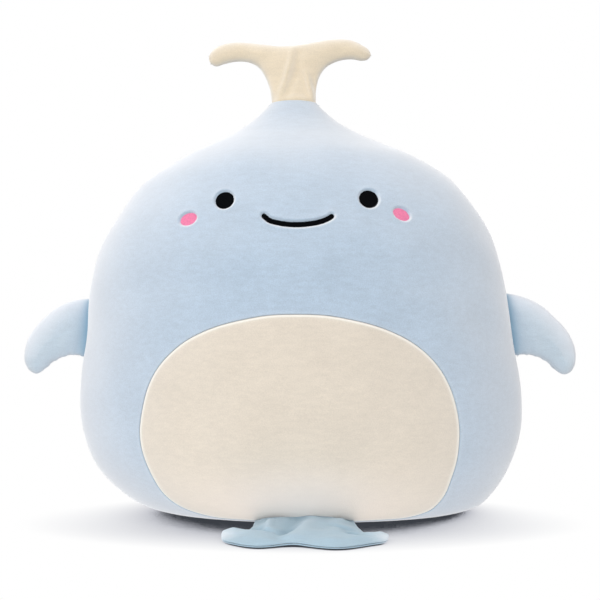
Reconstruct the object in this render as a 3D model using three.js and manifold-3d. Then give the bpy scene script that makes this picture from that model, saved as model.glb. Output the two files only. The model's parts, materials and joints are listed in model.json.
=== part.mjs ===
// A stuffed toy whale that sits upright: a pear-shaped body with a cream belly and an embroidered
// face, a fin on each side, a T-shaped spout on its head and a flat tail on the ground before it.
// Millimetres, +Z up. The whale faces -Y, its own left is +X, and the origin is the middle of the
// flat base.

import * as THREE from "three";
import { mergeVertices } from "three/addons/utils/BufferGeometryUtils.js";
import Module from "manifold-3d";

const wasm = await Module();
wasm.setup();

// Fabric, thread and sewing
const plushThickness = 2.4;
const limbPlushThickness = 1.8;
const seamGap = 0.3;
const threadThickness = 0.7;
const threadSink = 0.2;
const thinnestCore = 0.6;
const cutOverrun = 20;

// Body: a pear shape with a flat underside. The side seams lie in the plane sideSeamY.
const bodyHalfWidth = 165.4;
const bodyFrontDepth = 119.5;
const bodyBackDepth = 110;
const neckHeight = 304.5;
const neckLean = -4.6;
const sideSeamY = 6;
const groundCut = 0.5;
const bodyRoundness = 2.2;
const bodyColumns = 24;
// Height, half width and depth, from the underside up, as shares of the neck's height, the body's
// half width and its depth.
const bodyShares = [
  [0.0007, 0.66, 0.57],
  [0.016, 0.762, 0.67],
  [0.046, 0.842, 0.778],
  [0.096, 0.918, 0.879],
  [0.168, 0.981, 0.954],
  [0.275, 1, 0.997],
  [0.41, 0.969, 1],
  [0.542, 0.935, 0.965],
  [0.657, 0.882, 0.9],
  [0.745, 0.79, 0.803],
  [0.811, 0.678, 0.7],
  [0.858, 0.556, 0.586],
  [0.894, 0.412, 0.447],
  [0.93, 0.262, 0.3],
  [0.963, 0.17, 0.195],
  [1, 0.112, 0.105],
];
// The underside's almost flat middle: the width and depth of its inner ring.
const undersideRingShare = 0.5;
// The heights between which the neck leans to one side.
const leanStartShare = 0.85;
const leanEndShare = 0.935;

// Base panel: the oval underside
const baseHalfWidth = 100;
const baseHalfDepth = 58;
const baseColumns = 20;

// Belly patch, sewn into the front
const bellyHalfWidth = 109.5;
const bellyTop = 146;
const bellyBottom = 3.5;
const bellyCentreX = -0.8;
const bellyPoints = 29;
// Half of the outline, from the top's middle to the bottom's middle, as shares of the patch's half
// width and height.
const bellyShares = [
  [0, 1],
  [0.34, 0.974],
  [0.6, 0.912],
  [0.8, 0.806],
  [0.93, 0.668],
  [0.99, 0.515],
  [0.993, 0.37],
  [0.94, 0.215],
  [0.84, 0.09],
  [0.62, 0.012],
  [0.3, 0],
  [0, 0],
];

// Embroidered face
const faceCentreX = -2.2;
const eyeWidth = 12.6;
const eyeHeight = 12;
const eyeSpacing = 100.3;
const eyeZ = 225.8;
const cheekWidth = 11.6;
const cheekHeight = 8.8;
const cheekSpacing = 148.8;
const cheekZ = 213.6;
const cheekTurn = THREE.MathUtils.degToRad(20);
const ovalPoints = 12;
const mouthWidth = 46.4;
const mouthDepth = 6.8;
const mouthZ = 207.8;
const mouthStroke = 3.1;
const mouthSteps = 9;
const mouthEndSteps = 3;
// The right half of the smile's middle line, as shares of its half width and depth.
const mouthShares = [
  [0, 0],
  [0.4, 0.06],
  [0.63, 0.22],
  [0.83, 0.48],
  [1, 1],
];

// Limbs: every section is a rounded oval, and the root is a round bead that turns on its seam.
const limbRoundness = 2.1;
const limbColumns = 8;
const beadAnglesShares = [0.8, 0.4];

// Fins
const finReach = 41.4;
const finDrop = 40.6;
const finHalfThickness = 8.8;
const finBeadRadius = 2.7;
const finRootShare = 0.45;
const finRootHalfShare = 0.54;
// Upper edge out and up, lower edge out and up, half thickness, as shares of the reach, the drop
// and the half thickness.
const finShares = [
  [0.14, 0.498, 0.11, -0.56, 0.56],
  [0.35, 0.406, 0.217, -0.584, 0.84],
  [0.534, 0.283, 0.314, -0.628, 0.96],
  [0.703, 0.074, 0.41, -0.69, 1],
  [0.86, -0.135, 0.495, -0.764, 0.95],
  [0.957, -0.335, 0.56, -0.837, 0.86],
  [1, -0.54, 0.616, -0.9, 0.72],
  [0.995, -0.739, 0.672, -0.956, 0.55],
  [0.935, -0.894, 0.713, -0.99, 0.32],
];
const finTipShares = [0.833, -0.993];

// Spout
const spoutHeight = 43;
const spoutSpan = 122.5;
const spoutBeadRadius = 9;
const spoutHalfWidth = 16.6;
const spoutLean = THREE.MathUtils.degToRad(35);
// Stem: height, sideways place, half width and half thickness, as shares of the spout's height,
// the stem's half width and the bead's radius.
const stemShares = [
  [0, 0, 1, 1],
  [0.14, -0.036, 1.06, 0.955],
  [0.3, -0.072, 1.18, 0.93],
  [0.465, -0.06, 1.45, 0.91],
  [0.6, -0.03, 1.75, 0.85],
  [0.7, -0.03, 1.85, 0.78],
];
// Arms, from one tip to the other: place along the span, height, half height and half thickness,
// as shares of the span, the spout's height and the bead's radius.
const armShares = [
  [-0.502, 0.66, 0.46, 0.44],
  [-0.455, 0.71, 0.7, 0.64],
  [-0.37, 0.76, 0.82, 0.75],
  [-0.25, 0.75, 0.85, 0.79],
  [-0.1, 0.68, 0.95, 0.85],
  [0.07, 0.695, 0.97, 0.86],
  [0.19, 0.76, 0.94, 0.82],
  [0.3, 0.812, 0.86, 0.76],
  [0.395, 0.78, 0.72, 0.65],
  [0.457, 0.722, 0.44, 0.44],
];
const armTipShares = [
  [-0.522, 0.655],
  [0.478, 0.712],
];

// Tail
const tailLength = 113.5;
const tailHalfSpan = 54.5;
const tailRootHalfWidth = 33.5;
const tailHalfThickness = 4.4;
const tailBeadRadius = 2.6;
const tailCentreX = 3;
// Root: distance from the seam, half width and half thickness, as shares of the tail's length, the
// root's half width and the tail's half thickness.
const tailRootShares = [
  [0.06, 1.01, 0.68],
  [0.15, 1.03, 0.8],
  [0.28, 1.07, 0.93],
  [0.42, 1.14, 1],
  [0.55, 1.2, 1],
];
// Fluke, from one tip to the other: place across the half span, rear edge and front edge along the
// length, and half thickness.
const flukeShares = [
  [-0.955, 0.52, 0.76, 0.5],
  [-0.85, 0.43, 0.855, 0.8],
  [-0.6, 0.41, 0.93, 0.98],
  [-0.33, 0.39, 0.925, 1],
  [-0.13, 0.39, 0.86, 0.95],
  [0.04, 0.39, 0.905, 0.98],
  [0.2, 0.39, 0.98, 1],
  [0.38, 0.39, 1, 1],
  [0.6, 0.42, 0.94, 0.98],
  [0.78, 0.56, 0.855, 0.86],
  [0.95, 0.6, 0.785, 0.5],
];
const flukeTipShares = [
  [-1, 0.645],
  [1, 0.68],
];

// Colours
const colours = {
  body_plush: 0xc6dae9,
  belly_plush: 0xe9dfcd,
  fin_plush: 0xc3d6e5,
  spout_plush: 0xebe0ca,
  tail_plush: 0xb5cbdd,
  black_thread: 0x17151a,
  pink_thread: 0xea84aa,
  fibre: 0xf3f1ec,
};
const plushRoughness = 0.95;
const threadRoughness = 0.6;
const materials = {};
for (const [slot, color] of Object.entries(colours)) {
  const roughness = slot.endsWith("thread") ? threadRoughness : plushRoughness;
  materials[slot] = new THREE.MeshStandardMaterial({ color, roughness, metalness: 0 });
}

const vec = (x, y, z) => new THREE.Vector3(x, y, z);

// A geometry as a solid that can be joined and cut.
function solidOf(geometry) {
  const bare = geometry.clone();
  bare.deleteAttribute("normal");
  bare.deleteAttribute("uv");
  const merged = mergeVertices(bare);
  return new wasm.Manifold(
    new wasm.Mesh({
      numProp: 3,
      vertProperties: merged.attributes.position.array,
      triVerts: new Uint32Array(merged.index.array),
    }),
  );
}

// A solid as a named mesh of one material.
function meshOf(name, solid, slot) {
  const { vertProperties, triVerts } = solid.getMesh();
  const geometry = new THREE.BufferGeometry();
  geometry.setAttribute("position", new THREE.BufferAttribute(vertProperties, 3));
  geometry.setIndex(new THREE.BufferAttribute(triVerts, 1));
  geometry.computeVertexNormals();
  const mesh = new THREE.Mesh(geometry, materials[slot]);
  mesh.name = name;
  return mesh;
}

// Closed skin over a stack of rings with as many points each, from a first pole to a last one.
function skinOver(firstPole, rings, lastPole) {
  const columns = rings[0].length;
  const points = [firstPole, ...rings.flat(), lastPole];
  const last = points.length - 1;
  const at = (ring, column) => 1 + ring * columns + (column % columns);
  const faces = [];
  for (let c = 0; c < columns; c++) {
    faces.push([0, at(0, c + 1), at(0, c)]);
    faces.push([last, at(rings.length - 1, c), at(rings.length - 1, c + 1)]);
    for (let r = 0; r + 1 < rings.length; r++) {
      faces.push([at(r, c), at(r, c + 1), at(r + 1, c + 1)]);
      faces.push([at(r, c), at(r + 1, c + 1), at(r + 1, c)]);
    }
  }
  let volume = 0;
  for (const [a, b, c] of faces) {
    volume += points[a].dot(points[b].clone().cross(points[c]));
  }
  const outward = volume < 0 ? faces.map(([a, b, c]) => [a, c, b]) : faces;
  const geometry = new THREE.BufferGeometry().setFromPoints(points);
  geometry.setIndex(outward.flat());
  geometry.computeVertexNormals();
  return geometry;
}

// The same skin moved inwards.
function shrunk(skin, distance) {
  const moved = skin.clone();
  const { position, normal } = moved.attributes;
  for (let i = 0; i < position.count; i++) {
    const place = vec().fromBufferAttribute(position, i);
    const outward = vec().fromBufferAttribute(normal, i);
    const to = place.addScaledVector(outward, -distance);
    position.setXYZ(i, to.x, to.y, to.z);
  }
  return moved;
}

// Cosine and sine of a rounded oval's point.
function ovalPoint(angle, roundness) {
  const bent = (value) => Math.sign(value) * Math.abs(value) ** (2 / roundness);
  return [bent(Math.cos(angle)), bent(Math.sin(angle))];
}

function anglesOf(count) {
  return Array.from({ length: count }, (_, i) => (2 * Math.PI * i) / count);
}

// Box solid between two corners.
function slab(low, high) {
  const size = high.clone().sub(low);
  const box = new THREE.BoxGeometry(size.x, size.y, size.z);
  box.translate(...low.clone().add(high).divideScalar(2).toArray());
  return solidOf(box);
}

const bodyReach = bodyHalfWidth + bodyFrontDepth + bodyBackDepth + neckHeight + spoutHeight;
const farReach = bodyReach + tailLength + cutOverrun;

// Everything on one side of a plane square to an axis: sign -1 keeps what is below the place.
function halfSpace(axis, place, sign) {
  const low = vec(-farReach, -farReach, -farReach);
  const high = vec(farReach, farReach, farReach);
  (sign < 0 ? high : low)[axis] = place;
  return slab(low, high);
}

// Prism of an outline in X and Z, between two places along Y.
function prismAlongY(outline, fromY, toY) {
  const depth = toY - fromY;
  const prism = new THREE.ExtrudeGeometry(new THREE.Shape(outline), { depth, bevelEnabled: false });
  prism.rotateX(Math.PI / 2);
  prism.translate(0, toY, 0);
  return solidOf(prism);
}

// Body skin: half width as x, front depth as y and height as z, from the ground up.
const bodySections = bodyShares.map(([height, width, depth]) =>
  vec(width * bodyHalfWidth, depth * bodyFrontDepth, height * neckHeight),
);

function leanAt(z) {
  const [start, end] = [leanStartShare * neckHeight, leanEndShare * neckHeight];
  return neckLean * THREE.MathUtils.smoothstep(z, start, end);
}

function bodyRing(section) {
  return anglesOf(bodyColumns).map((angle) => {
    const [c, s] = ovalPoint(angle, bodyRoundness);
    const depth = s < 0 ? section.y : (section.y * bodyBackDepth) / bodyFrontDepth;
    return vec(section.x * c + leanAt(section.z), sideSeamY + depth * s, section.z);
  });
}

const underside = bodySections[0];
const undersideRing = vec(
  underside.x * undersideRingShare,
  underside.y * undersideRingShare,
  -groundCut,
);
const bodySkin = skinOver(
  vec(0, sideSeamY, -groundCut),
  [undersideRing, ...bodySections].map(bodyRing),
  vec(neckLean, sideSeamY, neckHeight),
);
const aboveGround = halfSpace("z", 0, 1);
const bodyInside = (depth) => solidOf(shrunk(bodySkin, depth));
const bodyShell = bodyInside(0).intersect(aboveGround).subtract(bodyInside(plushThickness));

// The body's section at a height, on its faceted skin.
function sectionAt(z) {
  const above = bodySections.findIndex((section) => section.z >= z);
  const [low, high] = [bodySections[above - 1], bodySections[above]];
  return low.clone().lerp(high, (z - low.z) / (high.z - low.z));
}

// Seat of the spout: a trough across the neck, round its hinge. The lips stay low enough for the
// stem to lean over them.
const spoutAxisZ = neckHeight + spoutBeadRadius * Math.sin(spoutLean);
const spoutTrough = (() => {
  const radius = spoutBeadRadius + seamGap;
  const length = 2 * bodyHalfWidth;
  const rod = new THREE.CylinderGeometry(radius, radius, length, bodyColumns);
  rod.rotateZ(Math.PI / 2);
  rod.translate(neckLean, sideSeamY, spoutAxisZ);
  return solidOf(rod);
})();

// Base oval, larger or smaller by a margin
function baseOval(margin) {
  const outline = anglesOf(baseColumns).map((angle) => {
    const [c, s] = ovalPoint(angle, bodyRoundness);
    return new THREE.Vector2((baseHalfWidth + margin) * c, (baseHalfDepth + margin) * s);
  });
  const depth = 2 * (plushThickness + groundCut);
  const oval = new THREE.ExtrudeGeometry(new THREE.Shape(outline), { depth, bevelEnabled: false });
  oval.translate(0, sideSeamY, -depth / 2);
  return solidOf(oval);
}

// Belly outline in X and Z, moved outwards by a margin
function bellyOutline(margin) {
  const height = bellyTop - bellyBottom;
  const half = bellyShares.map(([across, up]) => [
    across * bellyHalfWidth,
    bellyBottom + up * height,
  ]);
  const right = half.map(([x, z]) => new THREE.Vector2(bellyCentreX + x, z));
  const left = half.slice(1, -1).map(([x, z]) => new THREE.Vector2(bellyCentreX - x, z));
  const loop = new THREE.CatmullRomCurve3(
    [...right, ...left.reverse()].map((p) => vec(p.x, 0, p.y)),
    true,
  );
  const points = loop.getSpacedPoints(bellyPoints).slice(0, -1);
  return points.map((point, i) => {
    const next = points[(i + 1) % points.length];
    const before = points[(i + points.length - 1) % points.length];
    const along = next.clone().sub(before).normalize();
    return new THREE.Vector2(point.x - along.z * margin, point.z + along.x * margin);
  });
}

const bodyFrontY = sideSeamY - bodyFrontDepth - cutOverrun;
const frontHalf = halfSpace("y", sideSeamY - seamGap / 2, -1);
const backHalf = halfSpace("y", sideSeamY + seamGap / 2, 1);
const bellyPrism = (margin) => prismAlongY(bellyOutline(margin), bodyFrontY, sideSeamY - seamGap);

// Embroidery: thin thread patches in blind pockets of the front panel
const pocketDepth = threadSink + threadThickness + seamGap;
const threadLayer = bodyInside(threadSink).subtract(bodyInside(threadSink + threadThickness));
const underPocket = bodyInside(pocketDepth);

function ovalOutline(x, z, width, height, turn, margin) {
  return anglesOf(ovalPoints).map((angle) => {
    const across = (width / 2 + margin) * Math.cos(angle);
    const up = (height / 2 + margin) * Math.sin(angle);
    return new THREE.Vector2(across, up).rotateAround(new THREE.Vector2(), turn).add({ x, y: z });
  });
}

function mouthOutline(margin) {
  const right = mouthShares.map(([across, up]) => [
    (across * mouthWidth) / 2,
    mouthZ + up * mouthDepth,
  ]);
  const left = right.slice(1).map(([x, z]) => [-x, z]);
  const line = new THREE.SplineCurve(
    [...left.reverse(), ...right].map(([x, z]) => new THREE.Vector2(faceCentreX + x, z)),
  );
  const radius = mouthStroke / 2 + margin;
  const beside = (t, turn) => {
    const along = line.getTangentAt(t).rotateAround(new THREE.Vector2(), turn);
    return line.getPointAt(t).addScaledVector(along, radius);
  };
  const quarter = Math.PI / 2;
  const outline = [];
  for (let i = 0; i <= mouthSteps; i++) outline.push(beside(i / mouthSteps, -quarter));
  for (let i = 1; i < mouthEndSteps; i++) {
    outline.push(beside(1, -quarter + (Math.PI * i) / mouthEndSteps));
  }
  for (let i = mouthSteps; i >= 0; i--) outline.push(beside(i / mouthSteps, quarter));
  for (let i = 1; i < mouthEndSteps; i++) {
    outline.push(beside(0, quarter + (Math.PI * i) / mouthEndSteps));
  }
  return outline;
}

const eyeOutline = (side) => (margin) =>
  ovalOutline(faceCentreX + (side * eyeSpacing) / 2, eyeZ, eyeWidth, eyeHeight, 0, margin);
const cheekOutline = (side) => (margin) =>
  ovalOutline(
    faceCentreX + (side * cheekSpacing) / 2,
    cheekZ,
    cheekWidth,
    cheekHeight,
    -side * cheekTurn,
    margin,
  );
const embroidery = [
  ["left_eye", eyeOutline(1), "black_thread"],
  ["right_eye", eyeOutline(-1), "black_thread"],
  ["left_cheek", cheekOutline(1), "pink_thread"],
  ["right_cheek", cheekOutline(-1), "pink_thread"],
  ["mouth", mouthOutline, "black_thread"],
];

function bodyMeshes() {
  const bag = bodyShell.subtract(spoutTrough);
  const baseHole = baseOval(seamGap / 2);
  let front = bag.intersect(frontHalf).subtract(baseHole).subtract(bellyPrism(seamGap / 2));
  const belly = bag.intersect(frontHalf).subtract(baseHole).intersect(bellyPrism(-seamGap / 2));
  const back = bag.intersect(backHalf).subtract(baseHole);
  const threads = embroidery.map(([name, outline, slot]) => {
    const patch = prismAlongY(outline(0), bodyFrontY, sideSeamY);
    const pocket = prismAlongY(outline(seamGap), bodyFrontY, sideSeamY);
    front = front.subtract(pocket.subtract(underPocket));
    return meshOf(name, threadLayer.intersect(patch), slot);
  });
  const leftBack = back.intersect(halfSpace("x", seamGap / 2, 1));
  const rightBack = back.intersect(halfSpace("x", -seamGap / 2, -1));
  const filling = bodyInside(plushThickness + seamGap).subtract(spoutTrough);
  return [
    meshOf("body_front_panel", front, "body_plush"),
    meshOf("belly_panel", belly, "belly_plush"),
    meshOf("back_left_panel", leftBack, "body_plush"),
    meshOf("back_right_panel", rightBack, "body_plush"),
    meshOf("base_panel", bodyShell.intersect(baseOval(-seamGap / 2)), "body_plush"),
    meshOf("body_filling", filling, "fibre"),
    ...threads,
  ];
}

// Section of a limb: its middle, its half width and its half thickness, both as vectors.
const station = (centre, across, through) => ({ centre, across, through });

// Solid through a limb's sections, drawn in by a depth all round. A section too thin for that is
// left out. Without a depth the solid ends in its tips.
function limbSolid(stations, depth, firstTip, lastTip) {
  const drawnIn = (vector) => vector.clone().setLength(vector.length() - depth);
  const kept = stations.filter(
    ({ across, through }) => Math.min(across.length(), through.length()) > depth + thinnestCore,
  );
  const used = depth > 0 ? kept : stations;
  const rings = used.map(({ centre, across, through }) =>
    anglesOf(limbColumns).map((angle) => {
      const [c, s] = ovalPoint(angle, limbRoundness);
      const place = centre.clone().addScaledVector(drawnIn(across), c);
      return place.addScaledVector(drawnIn(through), s);
    }),
  );
  const first = depth > 0 || !firstTip ? used[0].centre : firstTip;
  const last = depth > 0 || !lastTip ? used[used.length - 1].centre : lastTip;
  return solidOf(skinOver(first, rings, last));
}

// Sections of the round bead behind a root section, from its back to the hinge line.
function beadBehind(root, radius, inwards) {
  const behind = beadAnglesShares.map((share) => {
    const angle = (share * Math.PI) / 2;
    const centre = root.centre.clone().addScaledVector(inwards, radius * Math.sin(angle));
    return station(centre, root.across, root.through.clone().setLength(radius * Math.cos(angle)));
  });
  return [...behind, root];
}

// A limb's two panels and its filling, from its outer solid, its hollow and its filling. The seam
// runs round the limb in the plane at zero along the axis.
function limbMeshes(names, slot, axis, outside, hollow, filling) {
  const shell = outside.subtract(hollow);
  return [
    meshOf(names[0], shell.intersect(halfSpace(axis, -seamGap / 2, -1)), slot),
    meshOf(names[1], shell.intersect(halfSpace(axis, seamGap / 2, 1)), slot),
    meshOf(names[2], filling, "fibre"),
  ];
}

const hollowDepth = limbPlushThickness;
const fillingDepth = limbPlushThickness + seamGap;

// Fin root: the hinge runs along the side seam, a bead's radius and a gap off the body.
const finRootHalf = finRootHalfShare * finDrop;
const finRootZ = finRootShare * neckHeight;
const finRootLow = sectionAt(finRootZ - finRootHalf);
const finRootHigh = sectionAt(finRootZ + finRootHalf);
const finTilt = Math.atan2(finRootHigh.x - finRootLow.x, finRootHigh.z - finRootLow.z);
const finRootX = (finRootLow.x + finRootHigh.x) / 2;
const bodyBulge = Math.max(
  ...bodySections
    .filter((section) => Math.abs(section.z - finRootZ) < finRootHalf)
    .map((section) => section.x - finRootX - (section.z - finRootZ) * Math.tan(finTilt)),
  0,
);
const finHingeX = finRootX + (finBeadRadius + seamGap + bodyBulge) / Math.cos(finTilt);

function finGroup(name, side) {
  const edgePoint = (out, up) => vec(side * out * finReach, 0, up * finDrop);
  const section = ([upperOut, upperUp, lowerOut, lowerUp, thick]) => {
    const upper = edgePoint(upperOut, upperUp);
    const lower = edgePoint(lowerOut, lowerUp);
    const centre = upper.clone().add(lower).divideScalar(2);
    return station(centre, upper.sub(centre), vec(0, thick * finHalfThickness, 0));
  };
  const root = station(vec(0, 0, 0), vec(0, 0, finRootHalf), vec(0, finBeadRadius, 0));
  const stations = [...beadBehind(root, finBeadRadius, vec(-side, 0, 0)), ...finShares.map(section)];
  const tip = edgePoint(...finTipShares);
  const solid = (depth) => limbSolid(stations, depth, null, tip);
  const group = new THREE.Group();
  const names = [name + "_front_panel", name + "_back_panel", name + "_filling"];
  group.add(
    ...limbMeshes(names, "fin_plush", "y", solid(0), solid(hollowDepth), solid(fillingDepth)),
  );
  group.position.set(side * finHingeX, sideSeamY, finRootZ);
  group.rotation.y = side * finTilt;
  return group;
}

function spoutGroup() {
  const across = (halfWidth) => vec(halfWidth * spoutHalfWidth, 0, 0);
  const stem = stemShares.map(([up, aside, width, thick]) =>
    station(
      vec(aside * spoutHalfWidth, 0, up * spoutHeight),
      across(width),
      vec(0, thick * spoutBeadRadius, 0),
    ),
  );
  const stemStations = [
    ...beadBehind(stem[0], spoutBeadRadius, vec(0, 0, -1)),
    ...stem.slice(1),
  ];
  const armPoint = (along, up) => vec(along * spoutSpan, 0, up * spoutHeight);
  const arms = armShares.map(([along, up, high, thick]) =>
    station(
      armPoint(along, up),
      vec(0, 0, high * spoutBeadRadius),
      vec(0, thick * spoutBeadRadius, 0),
    ),
  );
  const tips = armTipShares.map(([along, up]) => armPoint(along, up));
  const solid = (depth) => limbSolid(stemStations, depth).add(limbSolid(arms, depth, ...tips));
  const group = new THREE.Group();
  const names = ["spout_front_panel", "spout_back_panel", "spout_filling"];
  group.add(
    ...limbMeshes(names, "spout_plush", "y", solid(0), solid(hollowDepth), solid(fillingDepth)),
  );
  group.position.set(neckLean, sideSeamY, spoutAxisZ);
  return group;
}

// Tail root: the hinge runs across the front of the body, low enough for the tail to lie flat. It
// is moved forward until its bead clears the body by a gap, up to a share of the belly's height.
const tailHingeZ = tailHalfThickness - groundCut;
const tailCoverShare = 0.5;
const tailHingeY = Math.max(
  ...bodySections.slice(1).flatMap((high, i) => {
    const low = bodySections[i];
    const run = new THREE.Vector2(low.y - high.y, high.z - low.z).normalize();
    const reach = tailBeadRadius + seamGap;
    const y = sideSeamY - low.y - (reach - (tailHingeZ - low.z) * run.x) / run.y;
    return high.z < bellyTop * tailCoverShare ? [y] : [];
  }),
);

function tailGroup() {
  const place = (across, along) => vec(across, -along * tailLength, 0);
  const up = (thick) => vec(0, 0, thick * tailHalfThickness);
  const root = station(place(0, 0), vec(tailRootHalfWidth, 0, 0), vec(0, 0, tailBeadRadius));
  const stem = tailRootShares.map(([along, width, thick]) =>
    station(place(0, along), vec(width * tailRootHalfWidth, 0, 0), up(thick)),
  );
  const stemStations = [...beadBehind(root, tailBeadRadius, vec(0, 1, 0)), ...stem];
  const fluke = flukeShares.map(([across, rear, front, thick]) => {
    const halfLength = ((front - rear) * tailLength) / 2;
    return station(
      place(across * tailHalfSpan, (rear + front) / 2),
      vec(0, halfLength, 0),
      up(thick),
    );
  });
  const tips = flukeTipShares.map(([across, along]) => place(across * tailHalfSpan, along));
  const ground = halfSpace("z", -tailHingeZ, 1);
  const solid = (depth) =>
    limbSolid(stemStations, depth).add(limbSolid(fluke, depth, ...tips)).intersect(ground);
  const group = new THREE.Group();
  const names = ["tail_under_panel", "tail_top_panel", "tail_filling"];
  group.add(
    ...limbMeshes(names, "tail_plush", "z", solid(0), solid(hollowDepth), solid(fillingDepth)),
  );
  group.position.set(tailCentreX, tailHingeY, tailHingeZ);
  return group;
}

const whale = new THREE.Group();
whale.name = "plush_whale";
whale.add(...bodyMeshes());
whale.add(finGroup("left_fin", 1), finGroup("right_fin", -1), spoutGroup(), tailGroup());

export default whale;
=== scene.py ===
import json
import math

import bpy
import numpy as np
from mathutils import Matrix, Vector


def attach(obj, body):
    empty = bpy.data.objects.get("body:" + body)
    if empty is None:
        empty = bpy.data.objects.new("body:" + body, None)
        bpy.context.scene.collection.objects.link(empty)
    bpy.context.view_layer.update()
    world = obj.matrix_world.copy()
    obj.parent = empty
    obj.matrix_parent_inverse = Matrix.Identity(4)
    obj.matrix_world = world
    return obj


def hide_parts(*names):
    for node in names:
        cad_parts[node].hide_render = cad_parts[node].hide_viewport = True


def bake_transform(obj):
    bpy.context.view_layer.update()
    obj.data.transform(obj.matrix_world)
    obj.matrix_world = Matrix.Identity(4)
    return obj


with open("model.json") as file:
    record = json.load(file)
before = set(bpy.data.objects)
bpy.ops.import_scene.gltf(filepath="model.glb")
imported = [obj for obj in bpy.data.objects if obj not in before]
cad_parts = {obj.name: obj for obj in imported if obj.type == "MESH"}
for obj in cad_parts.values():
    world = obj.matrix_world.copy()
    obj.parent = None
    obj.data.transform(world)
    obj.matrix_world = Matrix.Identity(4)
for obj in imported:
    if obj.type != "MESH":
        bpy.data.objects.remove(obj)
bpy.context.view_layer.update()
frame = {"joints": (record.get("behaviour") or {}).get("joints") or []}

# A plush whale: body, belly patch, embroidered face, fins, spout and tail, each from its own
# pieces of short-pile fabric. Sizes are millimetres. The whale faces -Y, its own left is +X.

MM = 0.001
FULL_TURN = 2 * math.pi
HINGES = {joint["name"]: np.array(joint["pos_m"]) / MM for joint in frame["joints"]}
AXES = {joint["name"]: np.array(joint["axis"]) for joint in frame["joints"]}

# Body: height, half width and front depth, from the underside up, as shares of the neck's height,
# the half width and the front depth.
HALF_WIDTH = 165.4
FRONT_DEPTH = 119.5
BACK_DEPTH = 110.0
NECK_HEIGHT = 304.5
NECK_MIDDLE = -4.6
NECK_DROOP = 1.2
SIDE_SEAM_Y = 6.0
ROUNDNESS = 2.2
BODY_SHARES = [
    (0, 0.5, 0.56), (0.0007, 0.66, 0.72), (0.016, 0.77, 0.8), (0.046, 0.84, 0.873),
    (0.096, 0.914, 0.938), (0.168, 0.977, 0.98), (0.275, 0.997, 0.998), (0.41, 0.964, 0.993),
    (0.542, 0.934, 0.952), (0.657, 0.88, 0.9), (0.745, 0.783, 0.803), (0.811, 0.674, 0.7),
    (0.858, 0.547, 0.586), (0.894, 0.401, 0.447), (0.93, 0.261, 0.3), (0.963, 0.17, 0.195),
    (1, 0.108, 0.105),
]
# The soft body leans a little: heights and the middle's X there.
BODY_MIDDLE = [
    (0, 10), (5, 8.6), (13, 5.8), (21, 4.1), (30, 2.8), (43, 1.9), (60, 1.1), (80, 0.6), (115, 0),
    (156, -1.2), (182, -1.7), (205, -1.2), (225, -0.5), (245, -0.2), (262, -0.6), (272, -1.7),
    (280, -3.1), (290, -4.3), (304.5, -4.6), (312, -4.6),
]
PROFILE_STEP = 1.0
PROFILE_SMOOTHINGS = 40
# The neck's rolled rim, from the neck's edge inwards: change of height, width and depth.
NECK_RIM = [(0.5, -0.3, -0.4), (0.8, -0.8, -1.1), (0.5, -1.2, -1.8), (-0.6, -1.45, -2.3), (-4, -1.5, -2.4)]
# The body's plan has the turn about it, times this radius, and the run up its outline.
TURN_RADIUS = 130.0
BODY_GRID = 2.4
RIM_RUN = 12
RIM_ROWS = 30
# Soft lumps of the body: height, length, and the heights between which they fade in and out.
BODY_LUMP = 0.45
BODY_LUMP_LENGTH = 46.0
LUMP_START = (2, 30)
LUMP_END = (255, 295)

BASE_MIDDLE = 10.0
BASE_HALF_WIDTH = 90.0
BASE_HALF_DEPTH = 60.0
# Mean way from the underside's middle to its seam, and the height above which that seam has no say.
BASE_RADIUS = 80.0
BASE_REACH = 20
BASE_COLUMNS = 220

BELLY_HALF_WIDTH = 111.6
BELLY_TOP = 146.3
BELLY_BOTTOM = 1.0
BELLY_MIDDLE = -1.2
BELLY_SHARES = [
    (0, 1), (0.189, 0.994), (0.33, 0.975), (0.523, 0.935), (0.715, 0.862), (0.8, 0.808), (0.86, 0.757),
    (0.935, 0.659), (0.976, 0.563), (1, 0.442), (0.986, 0.331), (0.942, 0.218), (0.88, 0.12),
    (0.8, 0.062), (0.65, 0.018), (0.4, 0.003), (0, 0),
]
OUTLINE_POINTS = 220
# Distance that stands for out of reach.
FAR = 99.0

# Fabric and sewing
PLUSH_THICKNESS = 2.4
LIMB_PLUSH_THICKNESS = 1.3
# The body's inner skin lies this much below a deep groove, and this much below the plain thickness.
LEAST_FABRIC = 0.8
INNER_GAP = 0.4
SEAM_GAP = 0.3
# Along seams: radius of the rolled lip, then depth and width of the valley round it.
SEAM_GROOVE = (1.3, 0.7, 6.0)
PATCH_GROOVE = (1.0, 0.3, 5.0)
BASE_GROOVE = (1.3, 0.0, 6.0)
LIMB_GROOVE = (0.6, 0.2, 4.0)
# Seams grow shallow and pale towards the neck: heights below its rim and the share that goes.
NECK_FADE = (-35, -8)
NECK_FADE_SHARE = 0.85
# How strong the painted shade down in a seam is, and the painted highlight on a seam's upper edge.
SEAM_DARK = 0.5
SEAM_PALE = 0.1
PATCH_PALE = 0.95
SEAM_MARK_REACH = 0.7
LIP_MARK_PLACE = 0.9
LIP_MARK_REACH = 1.0
# Painted light on the belly: paler low down, most of all in the middle.
BELLY_PALE_HEIGHTS = (5.0, 55.0)
BELLY_PALE_REACH = 55.0
BELLY_PALE_SIDE = 0.1
BELLY_PALE_MIDDLE = 0.85
# Rows of edges beside a seam. Corners move onto them from a reach, and no further than the most.
SEAM_ROWS = [0.15, 0.3, 0.55, 0.9, 1.4, 2.2, 3.5, 5.5]
ROW_REACH = 0.3 * BODY_GRID
FIRST_ROW = 0.2
FIRST_ROW_REACH = 0.4
ROW_MOST = 0.35 * BODY_GRID
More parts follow.
